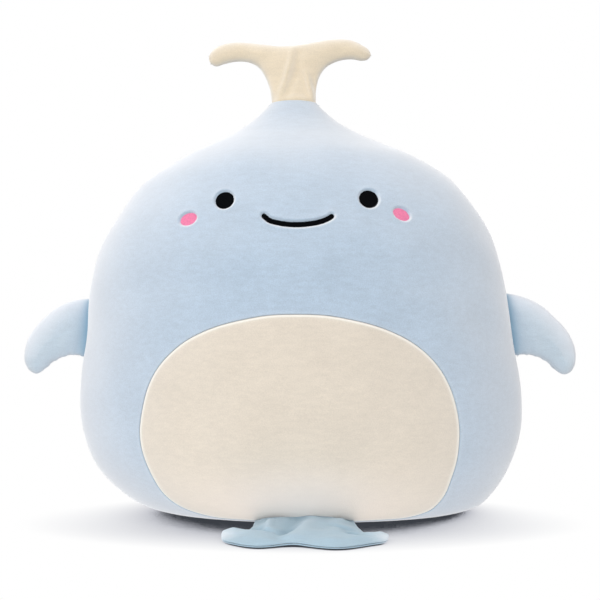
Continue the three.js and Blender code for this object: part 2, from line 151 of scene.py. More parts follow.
# Fibre in the body: depth below the shape, its lumps and their length, its gap to the base, its
# mesh, and where it starts and stops short of the neck.
FILLING_DEPTH = 3.6
FILLING_LUMP = 0.8
FILLING_LUMP_LENGTH = 18
FILLING_GAP = 0.3
FILLING_ROWS = 80
FILLING_COLUMNS = 120
FILLING_START = 0.3
FILLING_STOP = 6

# How tightly each part is stuffed.
LIMB_FILL = 0.6
TAIL_FILL = 0.25

# Embroidered face: each oval's middle in X and Z, its width and height, and how it is turned.
OVALS = {
    "left_eye": (47.8, 226.3, 13.8, 12.2, -0.5),
    "right_eye": (-52.6, 225.8, 13.4, 12.1, 0.4),
    "left_cheek": (70.9, 216.0, 12.6, 7.6, -0.45),
    "right_cheek": (-77.9, 212.6, 12.3, 8.1, 0.42),
}
OVAL_FILL = 0.985
MOUTH_POINTS = [
    (-24.9, 214.3), (-21.2, 211.4), (-15.2, 209.7), (-7.4, 208.5), (-0.3, 208.2), (7.5, 208.8),
    (13.1, 209.8), (17.8, 211.4), (21.8, 213.8),
]
MOUTH_STROKE = 3.6
MOUTH_END = 0.97
THREAD_PITCH = 0.42
THREAD_HEIGHT = 0.16
THREAD_SAMPLES = 6
THREAD_JITTER = 0.22
THREAD_UNEVEN = 0.04
THREAD_BULGE = 0.08
STITCH_COLUMNS = 16
STITCH_RISE = 0.75
STITCH_ROUNDNESS = 0.6
STITCH_FOOT = 0.15
STITCH_BACK = 0.35
# The embroidery sits in a pocket of the fabric with a raised collar of pile.
POCKET_DEPTH = 1.25
POCKET_WALL = (-0.2, 1.1)
POCKET_END = 6
POCKET_ROWS = [-0.3, 0.0, 0.3, 0.6, 0.9, 1.3, 2.0, 3.0]
INNER_ROW = -0.2
INNER_ROW_REACH = 0.3
COLLAR_HEIGHT = 0.3
COLLAR_PLACE = 1.8
COLLAR_WIDTH = 1.0
# Tone round the embroidery: towards the lower right the pile catches the light.
POCKET_LIGHT = (0.6, -0.8)
POCKET_MARK_END = 5.0
POCKET_DARK = 0.6
POCKET_DARK_REACH = 1.0
POCKET_PALE = 0.95
POCKET_PALE_PLACE = 0.8
POCKET_PALE_REACH = 0.8


# Curves, outlines and noise


def smooth_curve(knots, rows, at):
    """Smooth curve through rows of numbers at rising knots."""
    rows = np.asarray(rows, float)
    slopes = np.gradient(rows, knots, axis=0)
    i = np.clip(np.searchsorted(knots, at, side="right") - 1, 0, len(knots) - 2)
    width = (knots[i + 1] - knots[i])[:, None]
    t = (np.asarray(at)[:, None] - knots[i][:, None]) / width
    square, cube = t * t, t * t * t
    return (
        (2 * cube - 3 * square + 1) * rows[i]
        + (cube - 2 * square + t) * (slopes[i] * width)
        + (3 * square - 2 * cube) * rows[i + 1]
        + (cube - square) * (slopes[i + 1] * width)
    )


def run_along(points):
    """Length run along a line up to each of its points."""
    steps = np.linalg.norm(np.diff(points, axis=0), axis=1)
    return np.concatenate([[0], np.cumsum(steps)])


def evenly(points, count):
    """The same open line with evenly spaced points."""
    run = run_along(points)
    fine = smooth_curve(run, points, np.linspace(0, run[-1], 8 * count))
    run = run_along(fine)
    return smooth_curve(run, fine, np.linspace(0, run[-1], count))


def closed_curve(points, count=OUTLINE_POINTS):
    """Smooth closed line through points, evenly spaced and anticlockwise."""
    points = np.asarray(points, float)
    wrap = 4
    tiled = np.vstack([points[-wrap:], points, points[: wrap + 1]])
    run = run_along(tiled)
    dense = smooth_curve(run, tiled, np.linspace(run[wrap], run[wrap + len(points)], 12 * count + 1))
    run = run_along(dense)
    at = np.linspace(0, run[-1], count + 1)[:-1]
    loop = np.stack([np.interp(at, run, dense[:, k]) for k in range(2)], axis=1)
    ahead = np.roll(loop, -1, axis=0)
    area = (loop[:, 0] * ahead[:, 1] - ahead[:, 0] * loop[:, 1]).sum()
    return loop if area > 0 else loop[::-1]


def signed_distance(points, loop, margin=16.0, batch=8192):
    """Distance to a closed line, negative inside it. Further off than the margin it is rough."""
    low, high = loop.min(axis=0), loop.max(axis=0)
    rough = np.linalg.norm(np.maximum(np.maximum(low - points, points - high), 0), axis=1)
    result = np.maximum(rough, margin)
    near = np.flatnonzero(rough < margin)
    ahead = np.roll(loop, -1, axis=0)
    along = ahead - loop
    length2 = (along**2).sum(axis=1)
    rise = np.where(along[:, 1] == 0, 1e-12, along[:, 1])
    for start in range(0, len(near), batch):
        part = near[start : start + batch]
        offset = points[part][:, None, :] - loop
        t = np.clip((offset * along).sum(axis=2) / length2, 0, 1)
        nearest = np.linalg.norm(offset - t[..., None] * along, axis=2).min(axis=1)
        height = points[part][:, 1:2]
        crosses = (loop[:, 1] > height) != (ahead[:, 1] > height)
        left_of = points[part][:, 0:1] < loop[:, 0] + (height - loop[:, 1]) * along[:, 0] / rise
        inside = (crosses & left_of).sum(axis=1) % 2 == 1
        result[part] = np.where(inside, -nearest, nearest)
    return result


def distance_to_line(points, line):
    """Distance to an open line, and the share of the line run at the nearest place."""
    along = np.diff(line, axis=0)
    length2 = (along**2).sum(axis=1)
    offset = points[:, None, :] - line[:-1]
    t = np.clip((offset * along).sum(axis=2) / length2, 0, 1)
    away = np.linalg.norm(offset - t[..., None] * along, axis=2)
    best = away.argmin(axis=1)
    rows = np.arange(len(points))
    run = run_along(line)
    share = (run[best] + t[rows, best] * np.sqrt(length2[best])) / run[-1]
    return away[rows, best], share


def waves(points, length, seed, count=14):
    """Soft irregular waves of about a wavelength, between about -1 and 1."""
    draw = np.random.default_rng(seed)
    direction = unit(draw.normal(size=(count, points.shape[1])))
    turns = direction / (length * draw.uniform(0.7, 1.6, count))[:, None]
    phase = draw.uniform(0, 1, count)
    return np.sin(FULL_TURN * (points @ turns.T + phase)).sum(axis=1) / math.sqrt(count)


def smoothstep(value, low, high):
    t = np.clip((value - low) / (high - low), 0, 1)
    return t * t * (3 - 2 * t)


def bell(value, width):
    """1 where the value is 0, and next to nothing from twice the width on."""
    return np.exp(-((value / width) ** 2))


def unit(vectors, least=0):
    """The vectors at length 1. One that is shorter than the least stays shorter than that."""
    return vectors / np.maximum(np.linalg.norm(vectors, axis=-1, keepdims=True), least)


def right_of(along):
    """Unit vectors at right angles to directions in the plan."""
    return unit(np.stack([along[:, 1], -along[:, 0]], axis=1))


def full_turn(count):
    return np.linspace(0, FULL_TURN, count + 1)[:-1]


def rounded(angle):
    """Place on a rounded box's section, as shares of its half width and half depth."""
    return [np.sign(part) * np.abs(part) ** (2 / ROUNDNESS) for part in (np.cos(angle), np.sin(angle))]


def slope(field, spots, base, step):
    """How a field rises from its base values at spots, along both directions of the plan."""
    return np.stack([(field(spots + np.eye(2)[k] * step) - base) / step for k in range(2)], axis=1)


# Meshes


class Sheet:
    """Triangles on a surface. Each corner has a spot, its place in the surface's own plan."""

    def __init__(self, spots, faces):
        self.spots = np.asarray(spots, float)
        self.faces = np.asarray(faces, int)
        self.fixed = np.zeros(len(spots), bool)
        self.known = {}

    def values(self, field):
        if field not in self.known:
            self.known[field] = field(self.spots)
        return self.known[field]

    def slopes(self, field, chosen):
        spots = self.spots[chosen]
        return slope(field, spots, field(spots), 0.01)

    def cut(self, field, level, reach, most=None):
        """Runs a line of edges where the field has that level. Corners in reach move onto it, where
        that takes them no further than the most that they may move in the plan."""
        near = np.flatnonzero(~self.fixed & (np.abs(self.values(field) - level) < reach))
        if most is not None and len(near):
            steep = np.linalg.norm(self.slopes(field, near), axis=1)
            near = near[np.abs(self.values(field)[near] - level) < most * steep]
        if len(near):
            for _ in range(2):
                rise = self.slopes(field, near)
                size = np.maximum((rise**2).sum(axis=1), 1e-3)
                self.spots[near] -= rise * ((self.values(field)[near] - level) / size)[:, None]
                for known, values in self.known.items():
                    values[near] = known(self.spots[near])
        self.values(field)[near] = level
        self.fixed[near] = True
        value = self.values(field) - level
        value[np.abs(value) < 1e-5] = 0
        ends = np.stack([self.faces, np.roll(self.faces, -1, axis=1)], axis=2)
        crosses = value[ends[..., 0]] * value[ends[..., 1]] < 0
        count = len(self.spots)
        keys = (ends.min(axis=2) * count + ends.max(axis=2))[crosses]
        if not len(keys):
            return
        unique, inverse = np.unique(keys, return_inverse=True)
        a, b = unique // count, unique % count
        share = (value[a] / (value[a] - value[b]))[:, None]
        added = self.spots[a] + share * (self.spots[b] - self.spots[a])
        index = np.full(crosses.shape, -1)
        index[crosses] = inverse + count
        self.faces = split_faces(self.faces, index)
        for known, values in self.known.items():
            self.known[known] = np.concatenate([values, known(added)])
        self.known[field][count:] = level
        self.spots = np.vstack([self.spots, added])
        self.fixed = np.concatenate([self.fixed, np.ones(len(added), bool)])

    def keep(self, chosen):
        """Leaves only the chosen faces and their corners."""
        used, inverse = np.unique(self.faces[chosen], return_inverse=True)
        self.faces = inverse.reshape(-1, 3)
        self.spots = self.spots[used]
        self.fixed = self.fixed[used]
        self.known = {field: values[used] for field, values in self.known.items()}

    def part(self, chosen):
        """A copy that holds only the chosen faces."""
        copy = Sheet(self.spots, self.faces)
        copy.fixed, copy.known = self.fixed, self.known
        copy.keep(chosen)
        return copy

    def middle(self, field):
        """The field's mean over each face's corners."""
        return self.values(field)[self.faces].mean(axis=1)

    def nearest(self, fields):
        return np.min([np.abs(self.values(field)) for field in fields], axis=0)


def split_faces(faces, index):
    """Triangles with one or two of their edges split at the new corners in index."""
    count = (index >= 0).sum(axis=1)

    def turned(chosen, first):
        order = (first[:, None] + np.arange(3)) % 3
        return faces[chosen[:, None], order].T, index[chosen[:, None], order].T

    one, two = np.flatnonzero(count == 1), np.flatnonzero(count == 2)
    made = [faces[count == 0]]
    (a, b, c), (n, _, _) = turned(one, (index[one] >= 0).argmax(axis=1))
    made += [np.stack([a, n, c], axis=1), np.stack([n, b, c], axis=1)]
    (a, b, c), (_, m, n) = turned(two, (index[two] < 0).argmax(axis=1))
    made += [np.stack([n, m, c], axis=1), np.stack([a, b, m], axis=1), np.stack([a, m, n], axis=1)]
    return np.vstack(made)


def grid_spots(across, along):
    """Spots of a grid, row by row."""
    u, v = np.meshgrid(across, along)
    return np.stack([u.ravel(), v.ravel()], axis=1)


def grid_faces(rows, columns, wrap=False):
    """Triangles of a grid of points, row by row, with their diagonals in turn both ways."""
    across = columns if wrap else columns - 1
    r, c = np.meshgrid(np.arange(rows - 1), np.arange(across), indexing="ij")
    r, c = r.ravel(), c.ravel()
    a = r * columns + c
    b = r * columns + (c + 1) % columns
    d, e = a + columns, b + columns
    even = ((r + c) % 2 == 0)[:, None]
    first = np.where(even, np.stack([a, b, e], axis=1), np.stack([a, b, d], axis=1))
    second = np.where(even, np.stack([a, e, d], axis=1), np.stack([b, e, d], axis=1))
    return np.vstack([first, second])


def fan(start, columns, middle):
    """Triangles from a ring of corners to the one in its middle."""
    ring = start + np.arange(columns)
    return np.stack([ring, np.roll(ring, -1), np.full(columns, middle)], axis=1)


def capped_tube(points, outward, columns):
    """A tube of rings of points, closed at both ends, and its faces."""
    count = len(points)
    fans = [fan(0, columns, count), fan(count - columns, columns, count + 1)]
    faces = np.vstack([grid_faces(count // columns, columns, wrap=True), *fans])
    points = np.vstack([points, points[:columns].mean(axis=0), points[-columns:].mean(axis=0)])
    return points, facing(points, faces, np.vstack([outward, [0, 0, -1], [0, 0, 1]]))


def corner_normals(points, faces, least=1e-12):
    """Unit normal at each corner, from the faces round it."""
    a, b, c = (points[faces[:, k]] for k in range(3))
    normal = np.cross(b - a, c - a)
    total = np.zeros_like(points)
    for k in range(3):
        np.add.at(total, faces[:, k], normal)
    return unit(total, least)


def facing(points, faces, outward):
    """The faces, all turned to the outward directions of their corners."""
    a, b, c = (points[faces[:, k]] for k in range(3))
    outward = np.broadcast_to(outward, points.shape)
    away = (np.cross(b - a, c - a) * outward[faces].mean(axis=1)).sum(axis=1)
    return np.where((away < 0)[:, None], faces[:, ::-1], faces)


def spots_facing(spots, faces, up):
    """The faces, all turned to the plan's upper side, or to its lower side where up is negative."""
    a, b, c = (spots[faces[:, k]] for k in range(3))
    area = (b - a)[:, 0] * (c - a)[:, 1] - (b - a)[:, 1] * (c - a)[:, 0]
    return np.where((area * up < 0)[:, None], faces[:, ::-1], faces)


def closed_shell(outer, inner, faces):
    """Closed fabric: an outer and an inner skin with walls along the outer one's edges."""
    count = len(outer)
    edges = np.vstack([faces[:, [0, 1]], faces[:, [1, 2]], faces[:, [2, 0]]])
    forward = edges[:, 0] * count + edges[:, 1]
    backward = edges[:, 1] * count + edges[:, 0]
    a, b = edges[~np.isin(forward, backward)].T
    walls = np.vstack([np.stack([b, a, a + count], axis=1), np.stack([b, a + count, b + count], axis=1)])
    return np.vstack([outer, inner]), np.vstack([faces, faces[:, ::-1] + count, walls])


def add_piece(name, points, faces, slot, **marks):
    """A smooth-shaded mesh object. Marks are named numbers for its material, the same on both skins
    of a shell."""
    mesh = bpy.data.meshes.new(name)
    mesh.vertices.add(len(points))
    mesh.vertices.foreach_set("co", (np.asarray(points) * MM).astype(np.float32).ravel())
    mesh.loops.add(3 * len(faces))
    mesh.loops.foreach_set("vertex_index", np.asarray(faces, np.int32).ravel())
    mesh.polygons.add(len(faces))
    mesh.polygons.foreach_set("loop_start", np.arange(0, 3 * len(faces), 3, dtype=np.int32))
    mesh.update(calc_edges=True)
    mesh.validate()
    mesh.polygons.foreach_set("use_smooth", np.ones(len(mesh.polygons), bool))
    for mark, values in marks.items():
        attribute = mesh.attributes.new(mark, "FLOAT", "POINT")
        attribute.data.foreach_set("value", np.tile(values, 2).astype(np.float32))
    mesh.materials.append(MATERIALS[slot])
    piece = bpy.data.objects.new(name, mesh)
    bpy.context.scene.collection.objects.link(piece)
    return piece


def declare(node):
    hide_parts(node)


# Materials


def linear(code):
    """Colour of a hex code as linear red, green, blue and alpha."""
    parts = [((code >> shift) & 255) / 255 for shift in (16, 8, 0)]
    return [p / 12.92 if p <= 0.04045 else ((p + 0.055) / 1.055) ** 2.4 for p in parts] + [1.0]


def scaled(colour, factor):
    return [min(1.0, part * factor) for part in colour[:3]] + [1.0]


class Nodes:
    """The node tree of a material or a world, with short ways to add and join nodes."""

    def __init__(self, owner):
        owner.use_nodes = True
        self.tree = owner.node_tree

    def fill(self, node, inputs):
        """Sets inputs of a node, each to a value or to another node's output."""
        for key, value in inputs.items():
            if isinstance(value, bpy.types.NodeSocket):
                self.tree.links.new(value, node.inputs[key])
            else:
                node.inputs[key].default_value = value

    def add(self, kind, inputs, **settings):
        """The outputs of a new shader node."""
        node = self.tree.nodes.new("ShaderNode" + kind)
        for key, value in settings.items():
            setattr(node, key, value)
        self.fill(node, inputs)
        return node.outputs

    def object_place(self):
        return self.add("TexCoord", {})["Object"]

    def noise(self, place, scale, detail, distortion=0.0):
        inputs = {"Vector": place, "Scale": scale, "Detail": detail, "Distortion": distortion}
        return self.add("TexNoise", inputs)["Fac"]

    def maths(self, operation, first, second):
        return self.add("Math", {0: first, 1: second}, operation=operation)[0]

    def ramp(self, value, low, high, least=0.0, most=1.0):
        """From least to most as the value goes from low to high."""
        inputs = {"Value": value, "From Min": low, "From Max": high, "To Min": least, "To Max": most}
        return self.add("MapRange", inputs)["Result"]

    def mixed(self, factor, first, second, blend="MIX"):
        return self.add("Mix", {0: factor, 6: first, 7: second}, data_type="RGBA", blend_type=blend)[2]

    def finish(self, colour, height, bump, roughness, sheen, specular):
        """Gives the shader a colour, a bump with its strength and distance, and plain values."""
        inputs = {"Height": height, "Strength": bump[0], "Distance": bump[1]}
        values = {
            "Base Color": colour,
            "Normal": self.add("Bump", inputs)["Normal"],
            "Roughness": roughness,
            "Sheen Weight": sheen,
            "Sheen Roughness": SHEEN_ROUGHNESS,
            "Sheen Tint": WHITE,
            "Specular IOR Level": specular,
        }
        self.fill(self.tree.nodes["Principled BSDF"], values)


WHITE = [1.0, 1.0, 1.0, 1.0]
SHEEN_ROUGHNESS = 0.35
# Where a noise node's values mostly lie.
NOISE_RANGE = (0.3, 0.7)
# Sizes in metres and strengths of the brushed nap, the streaks in it and the single tufts.
NAP_SIZE = 0.03
STREAK_SIZE = 0.0024
STREAK_STRETCH = (0.3, 0.6, 1.0)
PILE_SIZE = 0.0008
NAP_SPREAD = 0.02
STREAK_SPREAD = 0.03
PILE_SPREAD = 0.045
PILE_BUMP = (0.25, 0.0005)
TWIST_BUMP = (0.2, 0.0002)
TANGLE_BUMP = (0.6, 0.002)
# Each plush: colours of the pile, of painted shade down in a seam, of a painted highlight on its upper
# edge, of painted shade at a limb's root (painted light low on the belly) and of painted sheen seen from
# the side, then the strengths of that last colour, of the sheen and of the grain.
PLUSHES = {
    "body_plush": (0xC3D5E7, 0x9FB4C4, 0xEDF2F8, 0xBFD1E2, 0xF6F5F7, 0.8, 0.5, 1.5),
    "belly_plush": (0xEADFD0, 0xC9C1B2, 0xFBF7EF, 0xFFF1E8, 0xF4F0EA, 0.8, 0.5, 1.0),
    "fin_plush": (0xD1DFEA, 0xB2C6D6, 0xF0F2F8, 0x88ACC4, 0xF0F1F5, 0.8, 0.5, 1.0),
    "spout_plush": (0xF4E4CA, 0xD6C8AE, 0xFBF3EA, 0xDDCDAC, 0xFAF5EE, 0.8, 0.5, 1.0),
    "tail_plush": (0xB1CADA, 0x83A5B9, 0xF4F8FF, 0x7C9CAF, 0xC3D6E1, 0.3, 0.15, 1.0),
}


def plush(name, pile, seam, lip, root, edge, edge_share, sheen, grain):
    """Short-pile plush: a brushed nap and single tufts, painted shade down in the seams and at a limb's
    root, painted light low on the belly, a painted highlight on the seams' upper edge, and the pile's
    sheen painted into the colour where it is seen from the side."""
    material = bpy.data.materials.new(name)
    nodes = Nodes(material)
    place = nodes.object_place()
    stretched = nodes.add("Mapping", {"Vector": place, "Scale": STREAK_STRETCH})["Vector"]
    tufts = nodes.noise(place, 1 / PILE_SIZE, 2.0)
    layers = [
        (nodes.noise(place, 1 / NAP_SIZE, 2.0), NAP_SPREAD),
        (nodes.noise(stretched, 1 / STREAK_SIZE, 3.0), STREAK_SPREAD),
        (tufts, PILE_SPREAD),
    ]
    colour = linear(pile)
    for noise, spread in layers:
        dark = scaled(WHITE, 1 - 2 * grain * spread)
        tone = nodes.mixed(nodes.ramp(noise, *NOISE_RANGE), dark, WHITE)
        colour = nodes.mixed(1.0, colour, tone, "MULTIPLY")
    # Painted shade in seams and at limb roots, painted light low on the belly, painted highlights on seam
    # edges.
    for mark, code in (("root", root), ("seam", seam), ("lip", lip)):
        share = nodes.add("Attribute", {}, attribute_name=mark)["Fac"]
        colour = nodes.mixed(share, colour, linear(code))
    # Painted sheen: the colour turns towards the edge colour where the surface is seen from the side.
    sideways = nodes.add("LayerWeight", {"Blend": 0.5})["Facing"]
    colour = nodes.mixed(nodes.maths("MULTIPLY", sideways, edge_share), colour, linear(edge))
    nodes.finish(colour, tufts, PILE_BUMP, roughness=1.0, sheen=sheen, specular=0.05)
    return material


def satin(name, code):
    """Embroidery thread: smooth strands with small changes of tone from strand to strand."""
    material = bpy.data.materials.new(name)
    nodes = Nodes(material)
    place = nodes.object_place()
    strands = nodes.ramp(nodes.noise(place, 900.0, 2.0), *NOISE_RANGE)
    colour = nodes.mixed(strands, scaled(linear(code), 0.9), scaled(linear(code), 1.06))
    twist = nodes.noise(place, 4000.0, 1.0)
    nodes.finish(colour, twist, TWIST_BUMP, roughness=0.6, sheen=0.0, specular=0.04)
    return material


def fibre(name, code):
    """Loose polyester filling."""
    material = bpy.data.materials.new(name)
    nodes = Nodes(material)
    tangle = nodes.noise(nodes.object_place(), 300.0, 6.0, 2.0)
    colour = nodes.mixed(nodes.ramp(tangle, *NOISE_RANGE), scaled(linear(code), 0.85), linear(code))
    nodes.finish(colour, tangle, TANGLE_BUMP, roughness=1.0, sheen=0.3, specular=0.1)
    return material


MATERIALS = {name: plush(name, *look) for name, look in PLUSHES.items()}
MATERIALS["black_thread"] = satin("black_thread", 0x010205)
MATERIALS["pink_thread"] = satin("pink_thread", 0xF48DB2)
MATERIALS["fibre"] = fibre("fibre", 0xF3F1EC)


# Body surface


def body_profile():
    """Rows of height, half width and front depth along the body's outline, with their run."""
    table = np.array(BODY_SHARES) * (NECK_HEIGHT, HALF_WIDTH, FRONT_DEPTH)
    run = run_along(table)
    fine = smooth_curve(run, table, np.arange(0, run[-1], PROFILE_STEP))
    fine = np.vstack([fine, table[-1]])
    for _ in range(PROFILE_SMOOTHINGS):
        fine[1:-1] = (fine[:-2] + 2 * fine[1:-1] + fine[2:]) / 4
    line = np.vstack([fine, table[-1] + np.array(NECK_RIM)])
    run = run_along(line)
    line = smooth_curve(run, line, np.linspace(0, run[-1], int(run[-1] / PROFILE_STEP)))
    line[:, 0] = np.maximum(line[:, 0], 0)
    return line, run_along(line)


PROFILE, PROFILE_RUN = body_profile()
NECK_RUN = PROFILE_RUN[PROFILE[:, 0].argmax()]
RISING = PROFILE_RUN <= NECK_RUN
MIDDLE_HEIGHTS, MIDDLES = np.array(BODY_MIDDLE).T


def middle_at(z):
    """The body's middle in X at a height."""
    return smooth_curve(MIDDLE_HEIGHTS, MIDDLES[:, None], np.clip(z, 0, MIDDLE_HEIGHTS[-1]))[:, 0]


def body_place(spots):
    """Points of the stuffed shape."""
    angle = spots[:, 0] / TURN_RADIUS
    section = smooth_curve(PROFILE_RUN, PROFILE, np.clip(spots[:, 1], 0, PROFILE_RUN[-1]))
    z, width, depth = section.T
    c, s = rounded(angle)
    depth = np.where(s < 0, depth, depth * BACK_DEPTH / FRONT_DEPTH)
    droop = NECK_DROOP * np.cos(angle) ** 2 * smoothstep(z, NECK_HEIGHT - 10, NECK_HEIGHT)
    return np.stack([width * c + middle_at(z), SIDE_SEAM_Y + depth * s, z - droop], axis=1)


def body_normal(spots, step=1.0):
    """Outward unit normals of the stuffed shape."""
    inside = spots.copy()
    inside[:, 1] = np.clip(spots[:, 1], step, PROFILE_RUN[-1] - step)
    turn = body_place(inside + [step, 0]) - body_place(inside - [step, 0])
    rise = body_place(inside + [0, step]) - body_place(inside - [0, step])
    return unit(np.cross(turn, rise))


def spots_of_front(x, z):
    """Spots of the front's points at places in X and Z."""
    run = np.interp(z, PROFILE[RISING, 0], PROFILE_RUN[RISING])
    width = np.interp(run, PROFILE_RUN, PROFILE[:, 1])
    cosine = np.clip((x - middle_at(z)) / width, -1, 1)
    bent = np.sign(cosine) * np.abs(cosine) ** (ROUNDNESS / 2)
    return np.stack([(FULL_TURN - np.arccos(bent)) * TURN_RADIUS, run], axis=1)


# How far the body's panels come out of the plain outline, on a grid of its turn and run.
PUFF = {"grid": None}


def spline_weights(t):
    """Weights of four neighbours on a smooth line, at a share of the way between the inner two."""
    weights = [(1 - t) ** 3, 3 * t**3 - 6 * t**2 + 4, -3 * t**3 + 3 * t**2 + 3 * t + 1, t**3]
    return np.stack(weights) / 6


def sample_puff(spots):
    """How far the body's panels come out at spots."""
    grid = PUFF["grid"]
    rows, columns = grid.shape
    at_row = np.clip(spots[:, 1] / NECK_RUN, 0, 1) * (rows - 1)
    at_column = spots[:, 0] / (FULL_TURN * TURN_RADIUS) * columns
    row, column = np.floor(at_row).astype(int), np.floor(at_column).astype(int)
    down, across = spline_weights(at_row - row), spline_weights(at_column - column)
    total = np.zeros(len(spots))
    for i in range(4):
        for j in range(4):
            near = grid[np.clip(row + i - 1, 0, rows - 1), (column + j - 1) % columns]
            total += down[i] * across[j] * near
    return total


def body_shape(spots):
    """Points of the stuffed shape after its panels have puffed out, without seams."""
    place, normal = body_place(spots), body_normal(spots)
    height = place[:, 2]
    fade = smoothstep(height, *LUMP_START) * (1 - smoothstep(height, *LUMP_END))
    out = BODY_LUMP * waves(place, BODY_LUMP_LENGTH, seed=3) * fade
    if PUFF["grid"] is not None:
        out = out + sample_puff(spots)
    return place + normal * out[:, None], normal


# Seams and outlines on the body: fields that are zero along them


def side_field(spots):
    return np.abs(body_place(spots)[:, 1] - SIDE_SEAM_Y)


def back_field(spots):
    place = body_place(spots)
    return np.abs(place[:, 0] - middle_at(place[:, 2]))


def base_field(spots):
    """Distance to the underside's seam."""
    place = body_place(spots)
    c, s = rounded(full_turn(OUTLINE_POINTS))
    oval = np.stack([BASE_MIDDLE + BASE_HALF_WIDTH * c, SIDE_SEAM_Y + BASE_HALF_DEPTH * s], axis=1)
    return np.where(place[:, 2] > BASE_REACH, FAR, signed_distance(place[:, :2], oval))


def belly_loop():
    height = BELLY_TOP - BELLY_BOTTOM
    half = [(across * BELLY_HALF_WIDTH, BELLY_BOTTOM + up * height) for across, up in BELLY_SHARES]
    right = [(BELLY_MIDDLE + x, z) for x, z in half]
    left = [(BELLY_MIDDLE - x, z) for x, z in half[1:-1]]
    return closed_curve(right + left[::-1])


BELLY_LOOP = belly_loop()


def belly_field(spots):
    """Distance to the belly patch's edge, negative inside it."""
    place = body_place(spots)
    across = place[:, 0] - middle_at(place[:, 2])
    return signed_distance(np.stack([across, place[:, 2]], axis=1), BELLY_LOOP)


def oval_loop(x, z, width, height, turn):
    angle = full_turn(64)
    across, up = width / 2 * np.cos(angle), height / 2 * np.sin(angle)
    sine, cosine = math.sin(turn), math.cos(turn)
    return np.stack([x + across * cosine - up * sine, z + across * sine + up * cosine], axis=1)


def mouth_loop():
    """Outline of a stroke along the mouth's line, with round ends."""
    line = evenly(np.array(MOUTH_POINTS), 60)
    beside = right_of(np.gradient(line, axis=0))
    radius = MOUTH_STROKE / 2

    def end(point, direction):
        angle = math.atan2(direction[1], direction[0]) + np.linspace(0, math.pi, 9)[1:-1]
        return point + radius * np.stack([np.cos(angle), np.sin(angle)], axis=1)

    below, above = line + radius * beside, line - radius * beside
    return np.vstack([below, end(line[-1], beside[-1]), above[::-1], end(line[0], -beside[0])])


FACE_LOOPS = [oval_loop(*oval) for oval in OVALS.values()] + [mouth_loop()]


def face_field(spots):
    """Distance to the nearest embroidered outline, negative inside it."""
    place = body_place(spots)[:, [0, 2]]
    return np.min([signed_distance(place, loop, 12.0) for loop in FACE_LOOPS], axis=0)


def groove(distance, lip, valley, width):
    """Depth at a distance from a seam: a rolled edge in a shallow valley."""
    away = np.clip(distance, 0, None)
    inside = np.clip(1 - away / lip, 0, 1)
    return lip * (1 - np.sqrt(1 - inside**2)) + valley * bell(away, width)


def pocket(distance):
    """Depth round the embroidery: a sunk floor, a soft wall and a slightly raised pile rim."""
    wall = 1 - smoothstep(distance, *POCKET_WALL)
    return POCKET_DEPTH * wall - COLLAR_HEIGHT * bell(distance - COLLAR_PLACE, COLLAR_WIDTH)


def seam_marks(distance, dark, pale):
    """Marks for the material: painted shade down in a seam, and a painted highlight on its upper edge."""
    away = np.clip(distance, 0, None)
    return dark * bell(away, SEAM_MARK_REACH), pale * bell(away - LIP_MARK_PLACE, LIP_MARK_REACH)


def pocket_marks(sheet, face):
    """Marks round the embroidery: shade on its upper left side, lit pile on its lower right."""
    near = np.flatnonzero(face < POCKET_MARK_END)
    lit = sheet.slopes(face_field, near) @ POCKET_LIGHT
    around = np.clip(face[near], 0, None)
    dark, pale = np.zeros(len(face)), np.zeros(len(face))
    dark[near] = POCKET_DARK * bell(around, POCKET_DARK_REACH) * np.clip(-lit, 0, 1)
    pale[near] = POCKET_PALE * bell(around - POCKET_PALE_PLACE, POCKET_PALE_REACH) * np.clip(lit, 0, 1)
    return dark, pale


# Cloth: panels blown up from inside while their seams hold them

CLOTH_FRAMES = 20
CLOTH_PRESSURE = 250.0
CLOTH_QUALITY = 5
CLOTH_MASS = 0.001
PUFF_ROWS = 90
PUFF_COLUMNS = 132
PUFF_CAP = 2.5
PUFF_HELD = 3.5
PUFF_REACH = 30.0
# Depths below the neck's rim between which the puff sets in, and passes of smoothing round the body.
PUFF_NECK = (20.0, 70.0)
PUFF_SMOOTHINGS = 3


def blown_up(points, faces, held):
    """Where the corners of a closed cloth lie after it has been blown up from inside."""
    mesh = bpy.data.meshes.new("cloth")
    mesh.from_pydata((points * MM).tolist(), [], faces.tolist())
    pad = bpy.data.objects.new("cloth", mesh)
    room = bpy.context.scene
    room.collection.objects.link(pad)
    pad.vertex_groups.new(name="held").add(np.flatnonzero(held).tolist(), 1.0, "REPLACE")
    cloth = pad.modifiers.new("Cloth", "CLOTH")
    cloth.settings.quality = CLOTH_QUALITY
    cloth.settings.mass = CLOTH_MASS
    cloth.settings.use_pressure = True
    cloth.settings.uniform_pressure_force = CLOTH_PRESSURE
    cloth.settings.vertex_group_mass = "held"
    cloth.settings.effector_weights.gravity = 0
    cloth.point_cache.frame_end = CLOTH_FRAMES
    for step in range(1, CLOTH_FRAMES + 1):
        room.frame_set(step)
    blown = pad.evaluated_get(bpy.context.evaluated_depsgraph_get())
    moved = np.empty(3 * len(points), np.float32)
    blown.data.vertices.foreach_get("co", moved)
    room.frame_set(1)
    bpy.data.objects.remove(pad)
    bpy.data.meshes.remove(mesh)
    return moved.reshape(-1, 3).astype(float) / MM


def from_held(spots, place):
    """Distance on the body from what holds the fabric: seams, embroidery, neck and ground."""
    front = place[:, 1] < SIDE_SEAM_Y
    distances = [
        side_field(spots),
        np.abs(base_field(spots)),
        np.where(front, np.abs(belly_field(spots)), back_field(spots)),
        np.where(front, face_field(spots), FAR),
        NECK_HEIGHT - place[:, 2],
        place[:, 2],
    ]
    return np.clip(np.min(distances, axis=0), 0, None)


